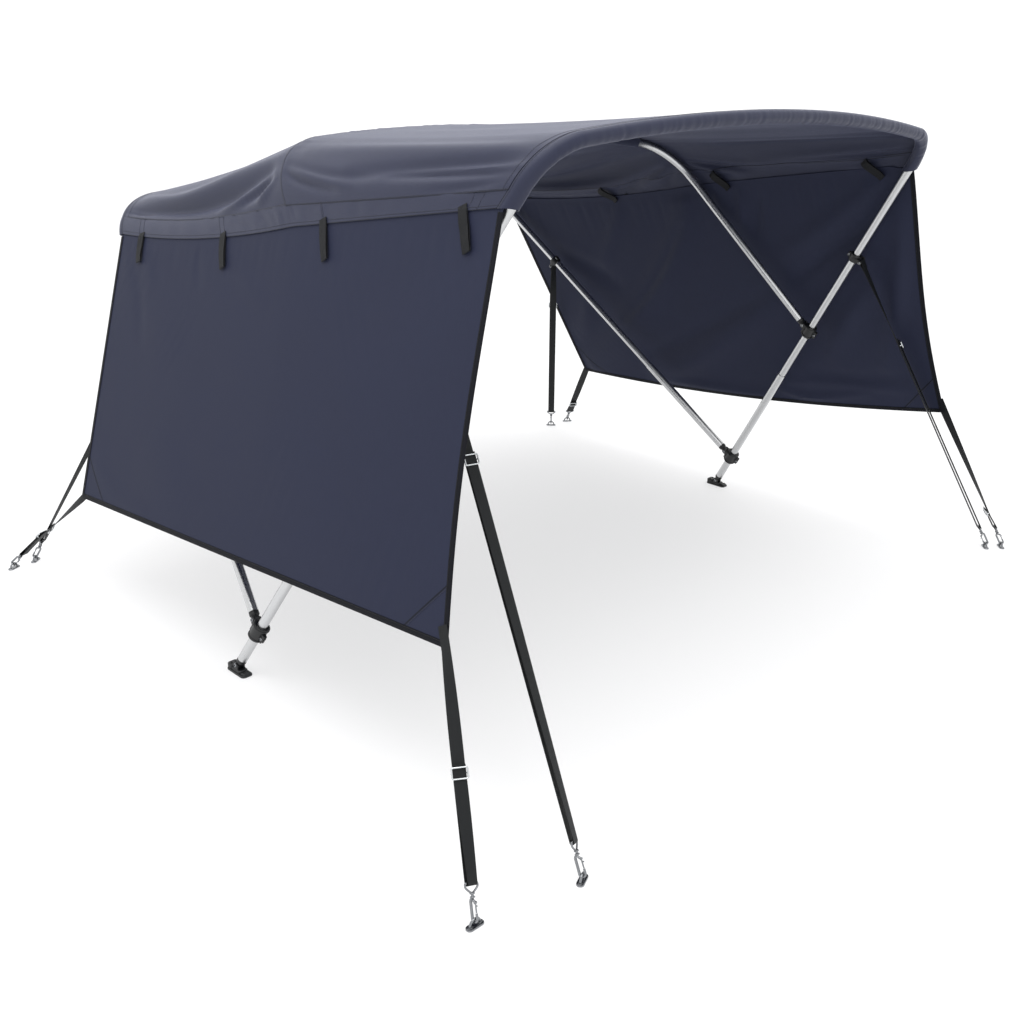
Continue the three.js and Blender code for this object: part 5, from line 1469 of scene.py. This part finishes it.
def canvas(name, dark, light, yarn_mm=YARN_MM, roughness=0.55, gloss=0.1, bloom=0.0):
    """Solution-dyed polyester canvas, plain woven and coated. It looks matt and a little cloudy, catches the
    light softly where it turns away, and shows short slubs. Along each felled seam a dark line is painted
    shadow in its groove."""
    finish = Finish(name, light, roughness, **{
        "Specular IOR Level": gloss,
        "Sheen Weight": bloom, "Sheen Roughness": 0.3, "Sheen Tint": srgb("b4b8cc"),
    })
    places = finish.node("ShaderNodeUVMap", uv_map="cloth")["UV"]
    x, y, _ = finish.node("ShaderNodeSeparateXYZ", {"Vector": places})
    warp, weft = yarns(finish, x, yarn_mm), yarns(finish, y, yarn_mm * WEFT_SHARE)
    weave = finish.node("ShaderNodeMath", {0: warp, 1: weft}, operation="MULTIPLY")[0]
    drawn = finish.node("ShaderNodeMapping", {"Vector": places, "Scale": (1, SLUB["stretch"], 1)})[0]
    slubs = finish.node("ShaderNodeTexNoise", {"Vector": drawn, "Scale": 1 / (SLUB["width"] * MM)})["Fac"]
    clouds = {"Vector": places, "Scale": 1 / (CLOUD * MM), "Detail": 3}
    cloud = finish.node("ShaderNodeTexNoise", clouds)["Fac"]
    both = finish.node("ShaderNodeMath", {0: slubs, 1: cloud}, operation="ADD")[0]
    share = finish.node("ShaderNodeMath", {0: both, 1: 0.5}, operation="MULTIPLY")[0]
    colour = finish.node("ShaderNodeMix", {0: share, 6: srgb(dark), 7: srgb(light)}, data_type="RGBA")[2]
    # Painted shadow: within a few mm of a seam the colour goes to a dark shade, standing in for the shade in
    # the seam's groove. The same mask also sinks the groove in the bump.
    signed = finish.node("ShaderNodeAttribute", attribute_name="seam")["Fac"]
    distance = finish.node("ShaderNodeMath", {0: signed}, operation="ABSOLUTE")[0]
    ends = {"Value": distance, "From Min": SEAM_SHADOW_ENDS[0], "From Max": SEAM_SHADOW_ENDS[1]}
    clear_of_seam_groove = finish.node("ShaderNodeMapRange", ends)["Result"]
    shaded = {0: clear_of_seam_groove, 6: srgb(SEAM_SHADOW_COLOUR), 7: colour}
    raised = finish.node("ShaderNodeMath", {0: slubs, 1: 0.8, 2: weave}, operation="MULTIPLY_ADD")[0]
    height = finish.node("ShaderNodeMath", {0: clear_of_seam_groove, 1: 4, 2: raised}, operation="MULTIPLY_ADD")[0]
    bump = {"Height": height, "Distance": 0.09 * MM, "Strength": 0.5}
    rough = {"Value": cloud, "To Min": roughness - 0.05, "To Max": roughness + 0.05}
    finish.surface({
        "Base Color": finish.node("ShaderNodeMix", shaded, data_type="RGBA")[2],
        "Normal": finish.node("ShaderNodeBump", bump)["Normal"],
        "Roughness": finish.node("ShaderNodeMapRange", rough)["Result"],
    })
    return finish.material


def woven_strap(name, dark, light, rib_mm=2.1):
    """Polypropylene webbing, tightly woven: black and dull, with ribs along it and fine picks across, both
    drawn at their real width."""
    finish = Finish(name, light, 0.55, **{"Specular IOR Level": 0.2})
    places = finish.node("ShaderNodeUVMap", uv_map="cloth")["UV"]
    x, y, _ = finish.node("ShaderNodeSeparateXYZ", {"Vector": places})
    ribs, picks = yarns(finish, x, rib_mm), yarns(finish, y, 1.3)
    cloud = finish.node("ShaderNodeTexNoise", {"Vector": places, "Scale": 1 / (60 * MM)})["Fac"]
    both = finish.node("ShaderNodeMath", {0: cloud, 1: ribs}, operation="ADD")[0]
    share = finish.node("ShaderNodeMath", {0: both, 1: 0.5}, operation="MULTIPLY")[0]
    raised = finish.node("ShaderNodeMath", {0: picks, 1: 0.6}, operation="ADD")[0]
    height = finish.node("ShaderNodeMath", {0: raised, 1: ribs}, operation="MULTIPLY")[0]
    shades = {0: share, 6: srgb(dark), 7: srgb(light)}
    bump = {"Height": height, "Distance": 0.3 * MM, "Strength": 0.7}
    finish.surface({
        "Base Color": finish.node("ShaderNodeMix", shades, data_type="RGBA")[2],
        "Normal": finish.node("ShaderNodeBump", bump)["Normal"],
    })
    return finish.material


def moulded_nylon():
    """Glass-filled nylon, injection moulded: black and satin, with a very fine grain and soft highlights."""
    finish = Finish("black glass-filled nylon, satin", "0f1113", 0.42)
    places = finish.node("ShaderNodeTexCoord")["Object"]
    grain(finish, places, 0.9, 0.05, 0.5)
    patchy_roughness(finish, places, 14, 0.36, 0.5)
    return finish.material


def drawn_tube():
    """Aluminium, drawn and bright anodised: a pale satin metal whose highlight runs along the tube in a clean
    stripe, broken a little by the drawing lines."""
    finish = Finish("bright anodised drawn aluminium", "c6c7c8", 0.24, Metallic=1.0)
    cloth = finish.node("ShaderNodeUVMap", uv_map="cloth")["UV"]
    lines = finish.node("ShaderNodeMapping", {"Vector": cloth, "Scale": (1, 0.004, 1)})[0]
    grain(finish, lines, 1.4, 0.01, 0.12, detail=1)
    patchy_roughness(finish, finish.node("ShaderNodeTexCoord")["Object"], 60, 0.24, 0.32)
    return finish.material


def stainless_steel(name, colour):
    """Stainless steel, polished or tumbled: small bright reflections beside dark ones, a little uneven."""
    finish = Finish(name, colour, 0.16, Metallic=1.0)
    places = finish.node("ShaderNodeTexCoord")["Object"]
    grain(finish, places, 2.5, 0.02, 0.4)
    patchy_roughness(finish, places, 6, 0.11, 0.26, detail=3)
    return finish.material


def sewing_thread(name, colour):
    """Bonded polyester thread, twisted: a dull shine that changes from stitch to stitch."""
    finish = Finish(name, colour, 0.55)
    patchy_roughness(finish, finish.node("ShaderNodeTexCoord")["Object"], 1.2, 0.45, 0.65, detail=1)
    return finish.material


# The canopy and the walls are one canvas. The walls' copy has a darker colour, painted shade for the lesser
# light that falls on them.
CANVAS = canvas("slate blue woven canvas", "292c3c", "313447", roughness=0.44, gloss=0.17, bloom=0.42)
SHADED_WALL_CANVAS = canvas("slate blue woven canvas of the walls", "242738", "292d40")
BINDING_TAPE = canvas("black woven binding tape", "0e0f14", "14151b", 0.7)
WEBBING_WEAVE = woven_strap("black woven polypropylene webbing", "0e1011", "1b1d1f")
TAB_WEAVE = woven_strap("black woven polypropylene tab", "07080b", "0f1115", 1.7)
NYLON = moulded_nylon()
ALUMINIUM = drawn_tube()
STEEL = stainless_steel("polished stainless steel", "c9ccce")
CAST_STEEL = stainless_steel("cast and tumbled stainless steel", "85878a")
THREAD = sewing_thread("dark blue polyester thread", "23252f")
BLACK_THREAD = sewing_thread("black polyester thread", "0f1013")


# Stitches: small threads set along lines on the cloth

# In mm. The real thread is about 0.3 mm thick. This one is thicker, so that it shows.
STITCH = {"Pitch": 4.6, "Length": 3.4, "Radius": 0.42}
THREAD_SIDES = 5


def stitch_tree():
    """Geometry nodes that lay one stitch after another along the edges of a mesh."""
    tree = bpy.data.node_groups.new("stitches along a line", "GeometryNodeTree")
    inputs = {"Line": "Geometry", **dict.fromkeys(STITCH, "Float"), "Thread": "Material"}
    for name, kind in inputs.items():
        tree.interface.new_socket(name, in_out="INPUT", socket_type=f"NodeSocket{kind}")
    tree.interface.new_socket("Stitches", in_out="OUTPUT", socket_type="NodeSocketGeometry")
    given = add_node(tree, "NodeGroupInput")
    curve = add_node(tree, "GeometryNodeMeshToCurve", {"Mesh": given["Line"]})["Curve"]
    spaced = {"Curve": curve, "Length": given["Pitch"]}
    points = add_node(tree, "GeometryNodeCurveToPoints", spaced, mode="LENGTH")
    sizes = {"Vertices": THREAD_SIDES, "Radius": given["Radius"], "Depth": given["Length"]}
    thread = add_node(tree, "GeometryNodeMeshCylinder", sizes)["Mesh"]
    laid = {"Points": points["Points"], "Rotation": points["Rotation"], "Instance": thread}
    stitches = add_node(tree, "GeometryNodeInstanceOnPoints", laid)["Instances"]
    meshes = add_node(tree, "GeometryNodeRealizeInstances", {"Geometry": stitches})["Geometry"]
    coloured = {"Geometry": meshes, "Material": given["Thread"]}
    result = add_node(tree, "GeometryNodeSetMaterial", coloured)["Geometry"]
    add_node(tree, "NodeGroupOutput", {"Stitches": result})
    return tree


STITCHES = stitch_tree()


def sew(name, lines, thread):
    """One mesh of stitches along lines of points in millimetres."""
    points, edges = [], []
    for line in lines:
        start = len(points)
        points += [tuple(p) for p in (np.asarray(line) + CENTRE_SHIFT) * MM]
        edges += [(start + k, start + k + 1) for k in range(len(line) - 1)]
    mesh = bpy.data.meshes.new(name)
    mesh.from_pydata(points, edges, [])
    obj = bpy.data.objects.new(name, mesh)
    bpy.context.collection.objects.link(obj)
    modifier = obj.modifiers.new("stitches", "NODES")
    modifier.node_group = STITCHES
    values = {"Thread": thread, **{key: size * MM for key, size in STITCH.items()}}
    for item in STITCHES.interface.items_tree:
        if item.in_out == "INPUT" and item.name in values:
            modifier[item.identifier] = values[item.name]
    evaluated = obj.evaluated_get(bpy.context.evaluated_depsgraph_get())
    obj.data = bpy.data.meshes.new_from_object(evaluated)
    obj.modifiers.remove(modifier)
    obj.data.shade_smooth()
    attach(obj, "root")
    return obj


# The object's pieces


def declare(cloth):
    area = cloth.area()


# Where stitches run, in rows or columns from an edge, and how far off the cloth they lie in mm
SEWN = {
    "lift": 0.25, "tab_lift": 0.3, "patch_lift": 0.35, "side": 0.45, "front": 0.5, "rear": 0.6, "ridge": 0.35,
    "sleeve": (1.2, 2.2), "hem": 1.2, "tab": (0.6, 0.5),
}
SEWN_POINTS = {"side": 160, "across": 500, "hem": 300, "tab": 12, "tab_top": 6}


def box_lines(key, x):
    """Stitch lines up a valance on both sides of a tab, and between them at its top."""
    cloth = valances[key]
    low, high = SEWN["tab"]
    hem, seam = (low, HEM_STEPS - high) if key == "right" else (HEM_STEPS - low, high)
    half = WEBBING["width"] / 2
    rows = [valance_frame(key, x + shift)[-1] for shift in (-half, half)]
    up = np.linspace(hem, seam, SEWN_POINTS["tab"])
    lines = [cloth.at(row, up, SEWN["tab_lift"]) for row in rows]
    return [*lines, cloth.at(np.linspace(*rows, SEWN_POINTS["tab_top"]), seam, SEWN["tab_lift"])]


def patch_lines(cloth):
    """Stitch lines across the lower corners of a wall, on both faces, just inside of the patches' edges."""
    lines = []
    count = np.arange(cloth.grid.shape[0])
    inset, lift = PATCH["stitches_inside"], SEWN["patch_lift"]
    for end in (0, -1):
        inside = -past_patch(cloth.grid, end)
        columns = np.nonzero(inside[-1] > inset)[0]
        rows = np.array([np.interp(inset, inside[1:, k], count[1:]) for k in columns])
        lines += [cloth.at(rows, columns, height) for height in (lift, -cloth.thickness - lift)]
    return lines


def panel_lines(cloth, across_rows):
    """Stitch lines along both sides of a panel, and across it at some rows."""
    width = cloth.grid.shape[1] - 1
    rows = np.linspace(0, ROWS, SEWN_POINTS["side"])
    columns = np.linspace(0, width, SEWN_POINTS["across"])
    lines = [cloth.at(rows, column, SEWN["lift"]) for column in (SEWN["side"], width - SEWN["side"])]
    return lines + [cloth.at(row, columns, SEWN["lift"]) for row in across_rows]


def sleeve_lines(cloth):
    """Stitch lines along both edges of a sleeve."""
    first, last = SEWN["sleeve"]
    columns = np.linspace(0, cloth.grid.shape[1] - 1, SEWN_POINTS["across"])
    return [cloth.at(row, columns, SEWN["lift"]) for row in (first, cloth.grid.shape[0] - last)]


def build_canopy():
    made = {}
    panels = (
        ("front_panel", front_panel, "top_panel_front", (SEWN["front"], ROWS + SEWN["ridge"])),
        ("rear_panel", rear_panel, "top_panel_rear", (ROWS - SEWN["rear"],)),
    )
    for name, cloth, solid, _ in panels:
        made[name] = cloth.solid().make(name, CANVAS, "canvas", [solid])
    for name, cloth in sleeves.items():
        made[name] = cloth.solid().make(f"{name}_cloth", CANVAS, "canvas", [name])
    seams = {name: panel_lines(cloth, rows) for name, cloth, _, rows in panels}
    seams.update((name, sleeve_lines(cloth)) for name, cloth in sleeves.items())
    for name, lines in seams.items():
        made[f"{name}_stitches"] = sew(f"{name}_stitches", lines, THREAD)
    for key, cloth in valances.items():
        valance_node = f"valance_{key}"
        made[valance_node] = cloth.solid().make(f"valance_cloth_{key}", CANVAS, "canvas", [valance_node])
        hem = SEWN["hem"] if key == "right" else HEM_STEPS - SEWN["hem"]
        lines = [cloth.at(np.linspace(0, 2 * ROWS, SEWN_POINTS["hem"]), hem, SEWN["lift"])]
        tabs = Solid()
        for x in TAB_PLACES:
            lines += box_lines(key, x)
            tabs.add(*outer_tab(key, x)).add(*inner_tab(key, x))
        made[f"valance_{key}_stitches"] = sew(f"valance_stitches_{key}", lines, THREAD)
        made[f"valance_{key}_tabs"] = tabs.make(f"roll_up_tabs_{key}", TAB_WEAVE, "webbing")
    return made


def build_walls():
    made = {}
    for key, cloth in walls.items():
        obj = cloth.solid().make(f"side_wall_{key}", SHADED_WALL_CANVAS, "wall_canvas", [f"wall_{key}"])
        body, lines = wall_binding(cloth)
        tape = Solid().add(*body).make(f"binding_{key}", BINDING_TAPE, "binding", [f"wall_binding_{key}"])
        stitches = sew(f"binding_stitches_{key}", lines, BLACK_THREAD)
        corners = sew(f"corner_stitches_{key}", patch_lines(cloth), THREAD)
        made[key] = (obj, [tape, stitches, corners])
    return made


def build_frame():
    starts = {
        "main": (MAIN, MAIN_LEG_JOINT),
        "middle": (MIDDLE, MIDDLE.height_after(1, UPPER_JAW["plug"][1] + 2 * GAP)),
        "rear": (REAR, REAR_LEG_JOINT),
    }
    for name, (bow, start) in starts.items():
        body = Solid().add(*upper_tube(bow, start))
        body.make(f"{name}_bow_tube", ALUMINIUM, "aluminium", [f"{name}_bow"])
    for key, side in SIDES.items():
        for name, plug in (("main", DECK_PLUG), ("rear", LOWER_JAW["plug"])):
            bow, joint = starts[name]
            body = Solid().add(*lower_tube(bow, side, plug, joint))
            body.make(f"{name}_leg_tube_{key}", ALUMINIUM, "aluminium", [f"{name}_lower_tube_{key}"])
        parts = (
            ("deck_hinge", deck_hinge(side)),
            ("lower_jaw", jaw(side, LOWER_JAW, LOWER_TUBE_RADIUS, REAR)),
            ("upper_jaw", jaw(side, UPPER_JAW, TUBE_RADIUS, MIDDLE)),
        )
        for name, (body, metal) in parts:
            body.make(f"{name}_body_{key}", NYLON, "nylon", [f"{name}_{key}"])
            metal.make(f"{name}_screws_{key}", CAST_STEEL, "steel")


def build_straps():
    for name, data in STRAPS.items():
        if "face" not in data:
            body, metal = strap_slide(data)
            body.make(f"slide_body_{name}", NYLON, "nylon", [f"slide_{name}"])
            metal.make(f"slide_screws_{name}", CAST_STEEL, "steel")
        Solid().add(*strap(data)).make(f"webbing_{name}", WEBBING_WEAVE, "webbing", [f"strap_{name}"])
        buckle(data).make(f"wire_buckle_{name}", STEEL, "steel", [f"buckle_{name}"])
        snap_hook(data).make(f"snap_hook_{name}", CAST_STEEL, "steel", [f"hook_{name}"])
        deck_eye(data).make(f"pad_eye_{name}", CAST_STEEL, "steel", [f"deck_eye_{name}"])


canopy_pieces = build_canopy()
wall_pieces = build_walls()
build_frame()
build_straps()


# Floor, light and camera, in metres and watts

FLOOR_HALF, FLOOR_GAP = 14, 0.001
SKY = 1.14                       # strength of the white light from all around
LIT_POINT = (0, 0, 0.8)
SOFTBOXES = {
    "overhead softbox": {"place": (0.2, -0.8, 4.4), "size": (4.5, 4.5), "power": 150},
    "side softbox": {"place": (3.6, -3.8, 2.6), "size": (2.6, 2.2), "power": 10},
}
# The photograph's view: place in mm, angles in radians, lens in mm for a sensor 36 mm wide
CAMERA = {
    "place": (2189.66, -2316.95, 1427.04), "turn": 0.7808786, "tilt": 0.374703, "roll": 0.0175605,
    "lens": 39.752,
}


def camera():
    data = bpy.data.cameras.new("photo view")
    data.sensor_width, data.lens = 36, CAMERA["lens"]
    obj = bpy.data.objects.new("photo view", data)
    bpy.context.collection.objects.link(obj)
    turn, tilt, roll = CAMERA["turn"], CAMERA["tilt"], CAMERA["roll"]
    look = Vector((-math.sin(turn) * math.cos(tilt), math.cos(turn) * math.cos(tilt), -math.sin(tilt)))
    right = Vector((math.cos(turn), math.sin(turn), 0))
    up = right.cross(look)
    aside = right * math.cos(roll) + up * math.sin(roll)
    above = up * math.cos(roll) - right * math.sin(roll)
    matrix = Matrix((aside, above, -look)).transposed().to_4x4()
    matrix.translation = Vector(CAMERA["place"]) * MM
    obj.matrix_world = matrix
    bpy.context.scene.camera = obj


def softbox(name, place, size, power):
    data = bpy.data.lights.new(name, "AREA")
    data.shape, data.size, data.size_y = "RECTANGLE", *size
    data.energy = power
    obj = bpy.data.objects.new(name, data)
    bpy.context.collection.objects.link(obj)
    obj.location = place
    obj.rotation_euler = (Vector(LIT_POINT) - Vector(place)).to_track_quat("-Z", "Y").to_euler()


def studio():
    mesh = bpy.data.meshes.new("studio floor")
    corners = [(x * FLOOR_HALF, y * FLOOR_HALF, 0) for x, y in ((-1, -1), (1, -1), (1, 1), (-1, 1))]
    mesh.from_pydata(corners, [], [(0, 1, 2, 3)])
    floor = bpy.data.objects.new("studio floor", mesh)
    bpy.context.collection.objects.link(floor)
    glow = {"Emission Color": srgb("ffffff"), "Emission Strength": 0.56}
    finish = Finish("plain pale studio floor, lit from below", "adadae", 0.8, **glow)
    floor.data.materials.append(finish.material)
    floor.location.z = -FLOOR_GAP
    world = bpy.data.worlds.new("studio")
    world.use_nodes = True
    background = world.node_tree.nodes["Background"]
    background.inputs["Color"].default_value = srgb("ffffff")
    background.inputs["Strength"].default_value = SKY
    bpy.context.scene.world = world
    for name, box in SOFTBOXES.items():
        softbox(name, **box)
    bpy.context.scene.view_settings.view_transform = "Standard"


camera()
studio()

for key, (obj, sewn_on) in wall_pieces.items():
    declare(walls[key])
for name, cloth, bows in (
    ("front_panel", front_panel, ["main_bow_tube", "middle_bow_tube"]),
    ("rear_panel", rear_panel, ["middle_bow_tube", "rear_bow_tube"]),
    ("front_sleeve", sleeves["front_sleeve"], ["main_bow_tube"]),
    ("middle_sleeve", sleeves["middle_sleeve"], ["middle_bow_tube"]),
    ("rear_sleeve", sleeves["rear_sleeve"], ["rear_bow_tube"]),
):
    declare(cloth)
for key, cloth in valances.items():
    sewn_on = [canopy_pieces[f"valance_{key}_{more}"] for more in ("stitches", "tabs")]
    declare(cloth)
